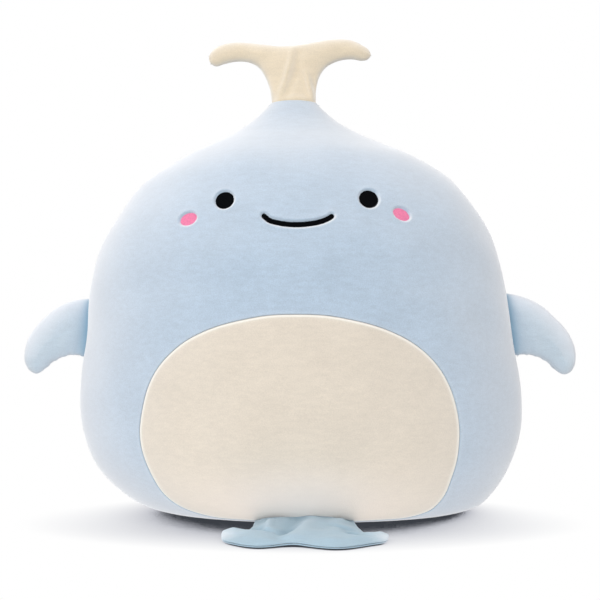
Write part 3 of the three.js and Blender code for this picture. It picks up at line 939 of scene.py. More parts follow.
def puff_body():
    """Blows up the body and keeps how far its panels come out."""
    turn = FULL_TURN * TURN_RADIUS * np.arange(PUFF_COLUMNS) / PUFF_COLUMNS
    spots = grid_spots(turn, np.linspace(0, NECK_RUN, PUFF_ROWS))
    place, normal = body_place(spots), body_normal(spots)
    away = from_held(spots, place)
    points, faces = capped_tube(place, normal, PUFF_COLUMNS)
    moved = blown_up(points, faces, np.append(away < PUFF_HELD, [True, True]))
    out = ((moved[: len(spots)] - place) * normal).sum(axis=1)
    fade = smoothstep(away, 0, PUFF_REACH) * smoothstep(NECK_HEIGHT - place[:, 2], *PUFF_NECK)
    grid = (PUFF_CAP * np.tanh(out / PUFF_CAP) * fade).reshape(PUFF_ROWS, PUFF_COLUMNS)
    for _ in range(PUFF_SMOOTHINGS):
        grid = (np.roll(grid, 1, axis=1) + 2 * grid + np.roll(grid, -1, axis=1)) / 4
    PUFF["grid"] = grid


# Body panels


def body_sheet(from_angle, to_angle):
    """Fine grid over part of the body's turn, from inside the base oval to the neck's rim."""
    columns = int((to_angle - from_angle) * TURN_RADIUS / BODY_GRID) + 1
    main = np.arange(0, NECK_RUN - RIM_RUN, BODY_GRID)
    rows = np.concatenate([main, np.linspace(NECK_RUN - RIM_RUN, PROFILE_RUN[-1], RIM_ROWS)])
    turn = np.linspace(from_angle, to_angle, columns) * TURN_RADIUS
    return Sheet(grid_spots(turn, rows), grid_faces(len(rows), columns))


def cut_seams(sheet, *fields, sides=(1,)):
    for field in fields:
        for side in sides:
            for row in SEAM_ROWS:
                reach = ROW_REACH if row > FIRST_ROW else FIRST_ROW_REACH
                sheet.cut(field, side * row, reach, ROW_MOST)


def body_fabric(name, node, slot, sheet, seams, patched=False, faced=False):
    """A fabric panel of the body, drawn in along its seams. It may meet the belly patch's seam, and
    have pockets for the embroidery."""
    shape, normal = body_shape(sheet.spots)
    distance = sheet.nearest(seams)
    depth = groove(distance, *SEAM_GROOVE)
    if patched:
        edge = np.abs(sheet.values(belly_field))
        depth = np.maximum(depth, groove(edge, *PATCH_GROOVE))
        distance = np.minimum(distance, edge)
    near_neck = smoothstep(shape[:, 2] - NECK_HEIGHT, *NECK_FADE)
    depth = depth * (1 - NECK_FADE_SHARE * near_neck)
    # Painted shade down in the seams and a painted highlight on their upper edge.
    dark, pale = seam_marks(distance, SEAM_DARK, PATCH_PALE if slot == "belly_plush" else SEAM_PALE)
    dark, pale = dark * (1 - near_neck), pale * (1 - near_neck)
    root = 0 * dark
    # Painted light low on the belly, carried by the root mark.
    if slot == "belly_plush":
        low = 1 - smoothstep(shape[:, 2], *BELLY_PALE_HEIGHTS)
        middle = bell(shape[:, 0], BELLY_PALE_REACH)
        root = low * (BELLY_PALE_SIDE + BELLY_PALE_MIDDLE * middle)
    if faced:
        face = sheet.values(face_field)
        depth = depth + np.where(face < POCKET_END, pocket(face), 0)
        crescent_dark, crescent_pale = pocket_marks(sheet, face)
        dark, pale = np.maximum(dark, crescent_dark), np.maximum(pale, crescent_pale)
    outer = shape - normal * depth[:, None]
    deeper = np.maximum(depth + LEAST_FABRIC, PLUSH_THICKNESS + INNER_GAP)
    inner = shape - normal * deeper[:, None]
    outer[:, 2] = np.maximum(outer[:, 2], 0)
    inner[:, 2] = np.maximum(inner[:, 2], np.minimum(PLUSH_THICKNESS, outer[:, 2] + PLUSH_THICKNESS))
    points, faces = closed_shell(outer, inner, spots_facing(sheet.spots, sheet.faces, 1))
    piece = add_piece(name, points, faces, slot, seam=dark, lip=pale, root=root)
    # Shading by area, so that the thinnest triangles beside a seam don't count.
    piece.data.normals_split_custom_set_from_vertices(corner_normals(points, faces))
    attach(piece, "body")
    declare(node)


def make_front():
    sheet = body_sheet(math.pi, FULL_TURN)
    cut_seams(sheet, side_field, base_field)
    cut_seams(sheet, belly_field, sides=(1, -1))
    for row in POCKET_ROWS:
        sheet.cut(face_field, row, ROW_REACH if row > INNER_ROW else INNER_ROW_REACH)
    gap = SEAM_GAP / 2
    seams = (side_field, base_field)
    whole = np.all([sheet.middle(field) > gap for field in seams], axis=0)
    belly = sheet.middle(belly_field)
    front, patch = sheet.part(whole & (belly > gap)), sheet.part(whole & (belly < -gap))
    meets = {"seams": seams, "patched": True}
    body_fabric("body_front_fabric", "body_front_panel", "body_plush", front, faced=True, **meets)
    body_fabric("belly_fabric", "belly_panel", "belly_plush", patch, **meets)


def make_back(label, from_angle, to_angle):
    sheet = body_sheet(from_angle, to_angle)
    seams = (side_field, base_field, back_field)
    cut_seams(sheet, *seams)
    whole = np.all([sheet.middle(field) > SEAM_GAP / 2 for field in seams], axis=0)
    body_fabric(label + "_fabric", label + "_panel", "body_plush", sheet.part(whole), seams)


def make_base():
    """The oval underside, flat on the ground."""
    shares = np.concatenate([np.linspace(0.06, 0.9, 20), 1 - np.array(SEAM_ROWS[::-1]) / BASE_RADIUS])
    c, s = rounded(full_turn(BASE_COLUMNS))
    x = BASE_MIDDLE + np.outer(shares * BASE_HALF_WIDTH, c)
    y = SIDE_SEAM_Y + np.outer(shares * BASE_HALF_DEPTH, s)
    away = np.repeat((1 - shares) * BASE_RADIUS, BASE_COLUMNS)
    rings = np.stack([x.ravel(), y.ravel(), groove(away, *BASE_GROOVE)], axis=1)
    outer = np.vstack([rings, [BASE_MIDDLE, SIDE_SEAM_Y, 0]])
    faces = [grid_faces(len(shares), BASE_COLUMNS, wrap=True), fan(0, BASE_COLUMNS, len(rings))]
    faces = facing(outer, np.vstack(faces), (0, 0, -1))
    points, faces = closed_shell(outer, outer + [0, 0, PLUSH_THICKNESS], faces)
    # Painted shade down in the seam and a painted highlight on its upper edge.
    dark, pale = seam_marks(np.append(away, BASE_RADIUS), SEAM_DARK, SEAM_PALE)
    piece = add_piece("base_fabric", points, faces, "body_plush", seam=dark, lip=pale)
    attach(piece, "body")
    declare("base_panel")


def make_body_filling():
    """Lumpy fibre just under the fabric."""
    rows = np.linspace(FILLING_START, NECK_RUN - FILLING_STOP, FILLING_ROWS)
    shape, normal = body_shape(grid_spots(full_turn(FILLING_COLUMNS) * TURN_RADIUS, rows))
    lumps = FILLING_LUMP * (1 + waves(shape, FILLING_LUMP_LENGTH, seed=8))
    points = shape - normal * (FILLING_DEPTH + lumps)[:, None]
    points[:, 2] = np.maximum(points[:, 2], PLUSH_THICKNESS + FILLING_GAP)
    piece = add_piece("body_fibre", *capped_tube(points, normal, FILLING_COLUMNS), "fibre")
    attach(piece, "body")
    declare("body_filling")


# Embroidery


def front_skin(x, z, depth):
    """Points below the stuffed front at places in X and Z."""
    shape, normal = body_shape(spots_of_front(x, z))
    return shape - normal * depth[:, None]


def make_stitches(label, slot, spine, half_widths, seed):
    """Satin stitch across a line: one ridge for each thread, on a soft dome."""
    draw = np.random.default_rng(seed)
    run = run_along(spine)
    threads = max(8, int(run[-1] / THREAD_PITCH))
    rows = threads * THREAD_SAMPLES + 1
    at = np.linspace(0, 1, rows) * run[-1]
    line = smooth_curve(run, spine, at)
    half = np.interp(at, run, half_widths)
    beside = right_of(np.gradient(line, axis=0))
    number = np.arange(rows) / THREAD_SAMPLES
    thread = np.minimum(number.astype(int), threads - 1)
    ridge = np.abs(np.sin(math.pi * number))[:, None]
    over = draw.uniform(-1, 1, (2, threads))[:, thread] * THREAD_JITTER * np.minimum(1, half / 2)
    lift = draw.uniform(-THREAD_UNEVEN, THREAD_UNEVEN, threads)[thread][:, None]
    across = np.sin(np.linspace(-math.pi / 2, math.pi / 2, STITCH_COLUMNS))
    reach = half[:, None] + np.where(across < 0, over[0][:, None], over[1][:, None])
    reach = reach + THREAD_BULGE * ridge
    place = line[:, None, :] + (across * reach)[..., None] * beside[:, None, :]
    edge = np.sqrt(np.clip(1 - across**2, 0, 1))
    ends = np.sqrt(np.clip(half / half.max(), 0, 1))[:, None]
    rise = STITCH_RISE * (edge**STITCH_ROUNDNESS) * ends
    rise = rise + (THREAD_HEIGHT * ridge + lift) * np.minimum(1, 2 * edge)
    x, z = place[..., 0].ravel(), place[..., 1].ravel()
    outer = front_skin(x, z, (POCKET_DEPTH + STITCH_FOOT - rise).ravel())
    inner = front_skin(x, z, np.full(len(x), POCKET_DEPTH + STITCH_BACK))
    faces = facing(outer, grid_faces(rows, STITCH_COLUMNS), (0, -1, 0))
    piece = add_piece(label + "_stitches", *closed_shell(outer, inner, faces), slot)
    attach(piece, "body")
    declare(label)


def make_face():
    for number, (label, (x, z, width, height, turn)) in enumerate(OVALS.items()):
        share = OVAL_FILL * np.sin(np.linspace(-math.pi / 2, math.pi / 2, 41))
        spine = np.outer(share * height / 2, (-math.sin(turn), math.cos(turn))) + (x, z)
        slot = "black_thread" if "eye" in label else "pink_thread"
        make_stitches(label, slot, spine, width / 2 * np.sqrt(1 - share**2), 20 + number)
    radius = MOUTH_STROKE / 2
    reach = MOUTH_END * radius
    line = evenly(np.array(MOUTH_POINTS), 80)
    first, last = unit(line[0] - line[1]), unit(line[-1] - line[-2])
    line = evenly(np.vstack([line[0] + reach * first, line, line[-1] + reach * last]), 160)
    run = run_along(line)
    from_end = np.clip(np.minimum(run, run[-1] - run) + radius - reach, 0, radius)
    half = np.sqrt(radius**2 - (radius - from_end) ** 2)
    make_stitches("mouth", "black_thread", line, half, 40)


# Limbs: two panels cut to one outline, sewn at the rim and stuffed

ROUND_POWER = 2.6
LIMB_GRID = 1.2
LIMB_ROWS = [0.25, 0.6, 1.1, 1.8]
LIMB_ROW_REACH = 0.2
LIMB_SEAM_DARK = 0.15
LIMB_THIN_SHARE = 0.45
# Distances from the rim between which folds and puff set in, and the band that is the rim itself.
RELIEF_START = (0.5, 5)
RIM_BAND = 0.05
SNAP_SHARE = 0.35
TINY = 1e-4
# The plan's cells for the stuffed height, and rounds until the membrane is at rest.
PLAN_MARGIN = 6
PLAN_CELL = 1.0
PLAN_ROUNDS = 3000
PLAN_SPREADS = 14
PLAN_SURE = 1.6
LEAST_RATIO = 0.2
# Cloth for a limb starts at a share of its height. It is held near the rim.
CLOTH_GRID = 2.4
CLOTH_HELD = 0.6
CLOTH_START = 0.95
LIMB_PUFF_REACH = 6.0
PUFF_BLUR = 2.2
PUFF_BATCH = 2048
# Fibre in a limb: how far in from the fabric's rim and below its surface it ends.
FIBRE_INSET = 2.0
FIBRE_GRID = 2.4
FIBRE_COVER = 1.7
FIBRE_LEAST_SHARE = 0.3
FIBRE_LEAST = 0.1
# How a fold fades towards its ends: the part of a half turn that it runs through, and a power.
FOLD_PART = (0.12, 0.88)
FOLD_POWER = 0.7


def around(grid):
    """Sum of each cell's four neighbours."""
    return sum(np.roll(grid, step, axis) for step in (1, -1) for axis in (0, 1))


class Limb:
    """Stuffed shape over an outline, the loop. Its plan lies in two axes from an origin and its thickness
    along a third. It ends, open, at the zero line of the root field, in the seam that holds it. Functions
    give its relief and may reshape it, lift it off its plan and paint light and shade on its pile."""

    sides = ("front", "back")
    fill = LIMB_FILL
    cap = 1.5
    shaped = lift = puffs = None

    def __init__(self, body, slot, **given):
        self.body, self.slot = body, slot
        vars(self).update(given)
        self.axes = np.asarray(self.axes, float)
        self.upward = np.sign(np.cross(self.axes[0], self.axes[1]) @ self.axes[2])
        self.solve()

    def solve(self):
        """Height over the plan as a membrane over the outline: its ratio to the rim distance."""
        low, high = self.loop.min(axis=0) - PLAN_MARGIN, self.loop.max(axis=0) + PLAN_MARGIN
        x, y = np.arange(low[0], high[0], PLAN_CELL), np.arange(low[1], high[1], PLAN_CELL)
        grid = np.stack(np.meshgrid(x, y, indexing="ij"), axis=-1)
        inward = -signed_distance(grid.reshape(-1, 2), self.loop).reshape(grid.shape[:2])
        height = np.zeros_like(inward)
        for _ in range(PLAN_ROUNDS):
            height = np.where(inward > 0, (around(height) + PLAN_CELL**2) / 4, 0)
        sure = inward > PLAN_SURE * PLAN_CELL
        ratio = np.where(sure, height / np.where(sure, inward, 1), 0)
        weight = sure.astype(float)
        for _ in range(PLAN_SPREADS):
            total, count = around(ratio * weight), around(weight)
            ratio = np.where(weight > 0, ratio, total / np.maximum(count, 1))
            weight = np.where((weight > 0) | (count > 0), 1.0, 0.0)
        self.low, self.ratio = low, ratio

    def ratio_at(self, plan):
        at = (plan - self.low) / PLAN_CELL
        corner = np.clip(np.floor(at).astype(int), 0, np.array(self.ratio.shape) - 2)
        t, u = np.clip(at - corner, 0, 1).T
        i, j = corner.T
        first, second = (self.ratio[k, j] * (1 - u) + self.ratio[k, j + 1] * u for k in (i, i + 1))
        return first * (1 - t) + second * t

    def from_rim(self, spots):
        """Way along the fabric from the rim, on the spread-out panel."""
        return self.edge / 2 - signed_distance(spots, self.loop)

    def stuffed(self, spots, side, inset=0.0):
        """Plan place, height on a side and outward plan direction of the panel's spots."""
        from_rim = self.from_rim(spots)
        outward = unit(-slope(self.from_rim, spots, from_rim, 0.02), 0.3)
        away = from_rim - inset
        old = self.edge / 2 - away
        rim = np.clip(away, 0, self.edge)
        new = np.where(away < self.edge, -(rim**2) / (2 * self.edge), old)
        plan = spots + outward * np.where(away < self.edge, new - old, 0)[:, None]
        inward = np.clip(-new, 0, None)
        height = np.sqrt(2 * np.clip(self.ratio_at(plan), LEAST_RATIO, None) * inward)
        thick = self.thickness - inset
        height = (np.maximum(height, 1e-6) ** -ROUND_POWER + thick**-ROUND_POWER) ** (-1 / ROUND_POWER)
        if self.shaped is not None:
            height = self.shaped(plan, height, side, inset)
        return plan, height, outward

    def world(self, plan, height):
        if self.lift is not None:
            height = height + self.lift(plan)
        return self.origin + plan @ self.axes[:2] + height[:, None] * self.axes[2]

    def sheet(self, spacing, inset=0.0):
        low = self.loop.min(axis=0) - self.edge
        high = self.loop.max(axis=0) + self.edge
        columns, rows = (np.ceil((high - low) / spacing)).astype(int) + 1
        spots = grid_spots(low[0] + spacing * np.arange(columns), low[1] + spacing * np.arange(rows))
        sheet = Sheet(spots, grid_faces(rows, columns))
        sheet.cut(self.from_rim, inset, SNAP_SHARE * spacing)
        sheet.cut(self.root, 0.0, SNAP_SHARE * spacing)
        sheet.keep((sheet.middle(self.from_rim) > inset + TINY) & (sheet.middle(self.root) > TINY))
        return sheet

    def blow_up(self):
        """Keeps how far each side comes out when the limb is blown up, held at its rim and root."""
        sheet = self.sheet(CLOTH_GRID)
        away = np.minimum(sheet.values(self.from_rim), sheet.values(self.root))
        heights, skins = [], []
        for side in (1, -1):
            plan, height, _ = self.stuffed(sheet.spots, side)
            heights.append(height)
            skins.append(self.world(plan, side * (CLOTH_START * height + SEAM_GAP / 2)))
        points, faces = closed_shell(*skins, spots_facing(sheet.spots, sheet.faces, self.upward))
        moved = blown_up(points, faces, np.tile(away < CLOTH_HELD, 2))
        rises = ((moved - points) @ self.axes[2]).reshape(2, -1)
        fade = smoothstep(away, 0, LIMB_PUFF_REACH)
        self.puff_spots, self.puffs = sheet.spots, {}
        for side, rise, height in zip((1, -1), rises, heights):
            out = side * rise - (1 - CLOTH_START) * height
            self.puffs[side] = self.cap * np.tanh(out / self.cap) * fade

    def bumps_at(self, spots, plan, side):
        """Height of the relief at places in the plan, and of the cloth near their spots."""
        puff = np.zeros(len(spots))
        for start in range(0, len(spots) if self.puffs else 0, PUFF_BATCH):
            part = slice(start, start + PUFF_BATCH)
            away = ((spots[part][:, None] - self.puff_spots) ** 2).sum(axis=2)
            weight = np.exp(-away / (2 * PUFF_BLUR**2))
            puff[part] = weight @ self.puffs[side] / np.maximum(weight.sum(axis=1), 1e-9)
        return self.relief(plan, side) + puff


def make_panel(limb, name, side):
    """One of a limb's two fabric panels, on the side of the thickness axis given by the sign."""
    sheet = limb.sheet(LIMB_GRID)
    for row in LIMB_ROWS:
        sheet.cut(limb.from_rim, row, LIMB_ROW_REACH)
    plan, height, outward = limb.stuffed(sheet.spots, side)
    away = sheet.values(limb.from_rim)
    bumps = limb.bumps_at(sheet.spots, plan, side)
    height = np.maximum(height + bumps * smoothstep(away, *RELIEF_START), 0)
    points = limb.world(plan, side * (height + SEAM_GAP / 2))
    faces = spots_facing(sheet.spots, sheet.faces, side * limb.upward)
    normal = corner_normals(points, faces)
    rim = away < RIM_BAND
    normal[rim] = unit(outward[rim] @ limb.axes[:2], TINY)
    outer = points - normal * groove(away, *LIMB_GROOVE)[:, None]
    outer[:, 2] = np.maximum(outer[:, 2], 0)
    thin = np.minimum(LIMB_PLUSH_THICKNESS, LIMB_THIN_SHARE * height + SEAM_GAP)
    inner = outer - normal * thin[:, None]
    # Painted shade down in the rim's seam.
    seam, lip = seam_marks(away, LIMB_SEAM_DARK, 0)
    # Painted shade at the limb's root, where it meets the body.
    root = bell(sheet.values(limb.root), limb.root_reach)
    # Painted light along one rim and painted shade along the other, from the limb's tone.
    pale, shade = limb.tone(plan, away, outward)
    seam, lip = np.maximum(seam, shade), np.maximum(lip, pale) * (1 - root)
    return add_piece(name, *closed_shell(outer, inner, faces), limb.slot, seam=seam, lip=lip, root=root)


def make_limb_filling(limb, name):
    """Fibre inside a limb, as one closed form that keeps below the fabric."""
    sheet = limb.sheet(FIBRE_GRID, FIBRE_INSET)
    skins = []
    for side in (1, -1):
        plan, height, _ = limb.stuffed(sheet.spots, side, FIBRE_INSET)
        place, cover, _ = limb.stuffed(sheet.spots, side)
        cover = np.maximum(cover + limb.bumps_at(sheet.spots, place, side), 0)
        room = np.maximum(cover - FIBRE_COVER, FIBRE_LEAST_SHARE * cover + FIBRE_LEAST)
        skins.append(limb.world(plan, side * np.minimum(height, room)))
    faces = spots_facing(sheet.spots, sheet.faces, limb.upward)
    return add_piece(name, *closed_shell(*skins, faces), "fibre")


def make_limb(limb):
    """Both panels and the filling of a limb."""
    name = limb.body
    for side, label in zip((-1, 1), limb.sides):
        piece = make_panel(limb, f"{name}_{label}_fabric", side)
        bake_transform(piece)
        declare(f"{name}_{label}_panel")
    piece = make_limb_filling(limb, name + "_fibre")
    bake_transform(piece)
    declare(name + "_filling")


def lit_from(direction, reach, pale, shade):
    """Painted light along the rim that faces a direction, and painted shade along the other."""

    def tone(plan, away, outward):
        lit = outward @ np.array(direction)
        near = bell(away, reach)
        return pale * near * smoothstep(lit, -0.1, 0.9), shade * near * smoothstep(-lit, 0.2, 1.0)

    return tone


def folded(plan, folds):
    """Height of folds: each is a line in the plan, its half width and its height."""
    total = np.zeros(len(plan))
    for line, width, height in folds:
        away, share = distance_to_line(plan, np.asarray(line, float))
        total += height * bell(away, width) * np.sin(math.pi * np.clip(share, *FOLD_PART)) ** FOLD_POWER
    return total


def creased(folds, lump, length, seed):
    """Relief of a limb's fabric: folds, and soft lumps of a height and a length."""

    def relief(plan, side):
        return folded(plan, folds) + lump * waves(plan, length, seed)

    return relief


# Fins

# Outlines away from the middle in X, and Z, from the root's top round to its bottom.
FIN_OUTLINES = {
    "left": [
        (140, 161.5), (150, 161.6), (157.5, 161), (165.7, 159.2), (175.7, 155.5), (183.2, 151.1),
        (190.7, 144.2), (198.2, 136.7), (203.2, 129.8), (206.5, 122.3), (207.9, 113.5), (206.5, 105.4),
        (203.2, 101), (199.2, 99.7), (194.5, 101.5), (190.1, 105.2), (186.9, 108.5), (181.4, 112),
        (174.5, 114.3), (168.2, 114.9), (162.9, 114.3), (150, 114), (140, 114.5),
    ],
    "right": [
        (140, 156.5), (150, 157.2), (158.5, 157.2), (166.8, 156.5), (174.9, 154.6), (183.7, 150.2),
        (192.4, 143), (199.9, 134.8), (205, 126.7), (207.5, 117.9), (207.8, 111.1), (205.8, 105.2),
        (202.4, 101.6), (198.7, 100.2), (195.2, 101.6), (191, 105), (186, 109.2), (179.9, 112.4),
        (174.9, 114), (168.7, 114.6), (163.5, 113.4), (150, 113), (140, 113.5),
    ],
}
FIN_THICKNESS = 10.2
FIN_EDGE = 7.5
FIN_ROOT_DEPTH = 1.0
# How far the painted shade at the fin's root reaches.
FIN_ROOT_REACH = 6.5
FIN_BEND = 18
# The fin is thin at its root: the share there, and the way from it to the full thickness.
FIN_ROOT_SHARE = 0.5
FIN_SWELL = (-1, 14)
# Painted light along the upper outer edge and painted shade along the lower one: its direction, out and
# up, reach and shares.
FIN_TONE = ((0.5, 0.87), 13.0, 0.85, 0.2)
# Small gathers along the lower edge: their length and depth, and where they end in X.
GATHER_LENGTH = 6.5
GATHER_DEPTH = 0.4
GATHER_END = 196.0
GATHER_TOP = 118.0
# Tucks and soft dents, in the same plan, and lumps of the stuffing: height and length.
FIN_FOLDS = [
    ([(166, 115), (167.5, 123)], 1.5, -0.7),
    ([(172.5, 114), (173.5, 121)], 1.4, -0.6),
    ([(179, 111.5), (178, 118)], 1.6, -0.6),
    ([(188, 105), (185, 112)], 1.8, -0.4),
    ([(195, 101), (196, 110)], 2.2, -0.4),
    ([(166, 151), (174, 146)], 3, -0.5),
    ([(164, 136), (174, 133)], 3.4, -0.5),
]
FIN_LUMPS = (0.25, 14)


def gathered(loop):
    """The outline with small gathers along the lower edge."""
    beside = right_of(np.roll(loop, -1, axis=0) - np.roll(loop, 1, axis=0))
    lower = (1 - smoothstep(loop[:, 1], GATHER_TOP - 3, GATHER_TOP)) * (beside[:, 1] < 0)
    lower = lower * (1 - smoothstep(loop[:, 0], GATHER_END - 8, GATHER_END))
    wave = GATHER_DEPTH * np.sin(FULL_TURN * loop[:, 0] / GATHER_LENGTH)
    return loop + beside * (wave * lower)[:, None]


def plan_fin(side, label):
    hinge = HINGES[label + "_fin_swing"]
    up = AXES[label + "_fin_swing"]
    up = up / np.linalg.norm(up) * np.sign(up[2])
    out = np.array([side * up[2], 0, -side * up[0]])
    turn = np.array([[side * out[0], out[2]], [side * up[0], up[2]]])
    pivot = np.array([side * hinge[0], hinge[2]])

    def root(spots):
        """Distance out of the body's outline."""
        place = hinge + spots[:, :1] * out + spots[:, 1:] * up
        half = np.interp(place[:, 2], PROFILE[RISING, 0], PROFILE[RISING, 1])
        return side * (place[:, 0] - middle_at(place[:, 2])) - half + FIN_ROOT_DEPTH

    def shaped(plan, height, turned, inset):
        return height * (FIN_ROOT_SHARE + (1 - FIN_ROOT_SHARE) * smoothstep(plan[:, 0], *FIN_SWELL))

    folds = [((np.array(line) - pivot) @ turn.T, width, rise) for line, width, rise in FIN_FOLDS]
    return Limb(
        label + "_fin",
        "fin_plush",
        loop=(gathered(closed_curve(FIN_OUTLINES[label])) - pivot) @ turn.T,
        origin=hinge,
        axes=[out, up, (0, 1, 0)],
        thickness=FIN_THICKNESS,
        edge=FIN_EDGE,
        root=root,
        root_reach=FIN_ROOT_REACH,
        shaped=shaped,
        relief=creased(folds, *FIN_LUMPS, 50 + side),
        tone=lit_from(*FIN_TONE),
        start=hinge * MM,
        end=(hinge + out * FIN_BEND) * MM,
    )


# Spout

# Outline in X and Z round the T, in the toy's own frame.
SPOUT_OUTLINE = [
    (-21.2, 286), (-21.2, 296), (-21.3, 304), (-22.9, 314.5), (-25.9, 323), (-31, 331), (-38.2, 334.9),
    (-47.5, 335.6), (-57, 333.8), (-63.5, 332), (-67.8, 334.5), (-68.9, 339.2), (-65.2, 345),
    (-58.4, 348.6), (-49.9, 350.2), (-37.9, 349.8), (-25.9, 348.5), (-16.3, 347.4), (-7.8, 347.6),
    (1.7, 348.6), (10.2, 350.2), (19.8, 352), (29.4, 352.7), (39.1, 351.8), (46.4, 348.6),
    (52.2, 344.4), (53.6, 340.4), (50.8, 337), (46, 336.3), (40, 337.3), (33, 337), (25.8, 334.9),
    (19.4, 331), (15.2, 325), (12.7, 316.6), (12.1, 304), (12, 296), (12, 286), (-4.6, 285),
]
SPOUT_THICKNESS = 9.8
SPOUT_EDGE = 7.0
SPOUT_ROOT_Z = 300.8
# How far the painted shade at the spout's root reaches.
SPOUT_ROOT_REACH = 3.0
SPOUT_BEND = (-4, 16)
# Painted light along the spout's upper edges and painted shade along their undersides: direction, reach
# and shares.
SPOUT_TONE = ((-0.1, 0.99), 5.5, 0.7, 0.6)
# The stem's root fills the neck's opening, up to where it has the spout's own shape.
STEM_HALF_WIDTH = 16.7
STEM_HALF_DEPTH = 9.6
STEM_HEIGHTS = (304, 313)
# Soft folds that run up from the root into the arms, on the front and the back.
SPOUT_FOLDS = [
    ([(-17.5, 304.5), (-14.5, 311), (-10.5, 321), (-7.5, 333), (-5.5, 344)], 2.2, 2.4),
    ([(-8.5, 310), (-5, 319), (-2, 330), (-0.5, 340)], 3.4, -2.6),
    ([(10.5, 303), (9, 310), (6.5, 318), (4.5, 327)], 1.7, 2.3),
    ([(12.5, 306), (11.5, 314), (9.8, 323)], 2, -2.2),
    ([(3, 312), (2, 319), (0.5, 327)], 3, -1.7),
    ([(-14, 306), (-4, 307.5), (7, 306)], 2.4, 1.5),
    ([(-22, 316), (-28, 330), (-40, 339)], 3.4, -0.6),
    ([(12, 318), (18, 334), (32, 341)], 3.4, -0.6),
]
SPOUT_LUMPS = (0.25, 16, 60)


def plan_spout():
    def root(spots):
        return spots[:, 1] - SPOUT_ROOT_Z

    def shaped(plan, height, side, inset):
        across = np.clip(np.abs(plan[:, 0] - NECK_MIDDLE) / STEM_HALF_WIDTH, 0, 1)
        ring = (STEM_HALF_DEPTH - inset) * (1 - across**ROUNDNESS) ** (1 / ROUNDNESS)
        return height + (ring - height) * (1 - smoothstep(plan[:, 1], *STEM_HEIGHTS))

    start, end = ((HINGES["spout_sway"] + (0, 0, rise)) * MM for rise in SPOUT_BEND)
    return Limb(
        "spout",
        "spout_plush",
        loop=closed_curve(SPOUT_OUTLINE),
        origin=np.array([0, SIDE_SEAM_Y, 0]),
        axes=[(1, 0, 0), (0, 0, 1), (0, 1, 0)],
        thickness=SPOUT_THICKNESS,
        edge=SPOUT_EDGE,
        root=root,
        root_reach=SPOUT_ROOT_REACH,
        shaped=shaped,
        relief=creased(SPOUT_FOLDS, *SPOUT_LUMPS),
        tone=lit_from(*SPOUT_TONE),
        start=start,
        end=end,
    )


# Tail

# Outline in X and Y on the ground, in the toy's own frame.
TAIL_OUTLINE = [
    (-31.5, -60), (-31.6, -80), (-32, -98), (-33.1, -116), (-36.3, -128), (-41.4, -132.5),
    (-47, -130.5), (-50.6, -138), (-51.2, -154), (-48.4, -168), (-42, -177), (-34, -185), (-26, -188),
    (-18.3, -185.5), (-10.8, -181), (-3.8, -179), (3, -182.5), (11.2, -188.5), (21.1, -193),
    (29.5, -191.5), (38.2, -185), (47.1, -176.5), (54.1, -170.5), (57.2, -160), (56.4, -148),
    (52, -146), (48.3, -148.5), (44.3, -141), (40.8, -124), (38.6, -101), (37.8, -80), (37.6, -60),
    (3, -59),
]
TAIL_OUTLINE_FRONT = -193.0
TAIL_THICKNESS = 4.6
TAIL_EDGE = 3.2
TAIL_PUFF_CAP = 0.6
TAIL_LEVEL = 1.4
UNDER_SHARE = 0.25
# The fluke thins out to its rim and to its front.
TAIL_RIM_SHARE = 0.3
TAIL_RIM_REACH = 11.0
TAIL_FRONT_SHARE = 0.75
TAIL_ROOT_Y = -76.6
# How far the painted shade along the tail's root reaches.
TAIL_ROOT_REACH = 27.0
TAIL_BEND = (4, -20)
# Where the soft fluke lifts off the ground: place, reach and rise.
TAIL_LIFTS = [((-49.0, -140.0), 9.0, 1.9), ((54.0, -152.0), 9.0, 1.7), ((-4.0, -176.0), 10.0, 0.5)]
# The tips, where the colour is painted paler: place and reach.
TAIL_TIPS = [((-57.0, -152.0), 14.0), ((61.0, -162.0), 12.0)]
TAIL_PALE = 1.0
# A painted highlight along the rims that face sideways or back, painted light on the folds' crests and
# painted shade in their valleys.
TAIL_RIM_PALE = 0.6
TAIL_RIM_PALE_REACH = 1.6
TAIL_RIM_FACING = (0.3, 1.0)
TAIL_TONED_FOLD = 2
TAIL_CREST_PALE = 0.22
TAIL_VALLEY_SHADE = 0.6
TAIL_FOLD_RISE = 1.7
TAIL_FOLDS = [
    ([(-21.7, -143.5), (-20.8, -123), (-19, -108)], 2.6, 2),
    ([(-31.5, -126), (-26.5, -140)], 3.6, -2),
    ([(-15, -172), (-9, -140), (-1.5, -97)], 5.5, -1.6),
    ([(-4, -170), (3, -140), (9, -100)], 6, 1.3),
    ([(30, -146), (38, -162)], 4.5, -1.8),
    ([(20, -86), (32, -91)], 3.2, -1.6),
    ([(27, -104), (24, -124)], 5, 1),
    ([(-26, -84), (-14, -90)], 3.2, -1.3),
    ([(-46, -152), (-36, -162)], 3, -0.6),
    ([(50, -162), (40, -166)], 3, -0.6),
    ([(22, -128), (36, -142)], 4, -1.6),
    ([(-36, -138), (-20, -151)], 3.2, -1.6),
    ([(0, -128), (-13, -155)], 4, -1.2),
]
TAIL_LUMPS = (0.4, 24, 70)


def hill(plan, place, reach):
    """1 at a place in the plan, and next to nothing from twice the reach on."""
    return np.exp(-((plan - place) ** 2).sum(axis=1) / reach**2)


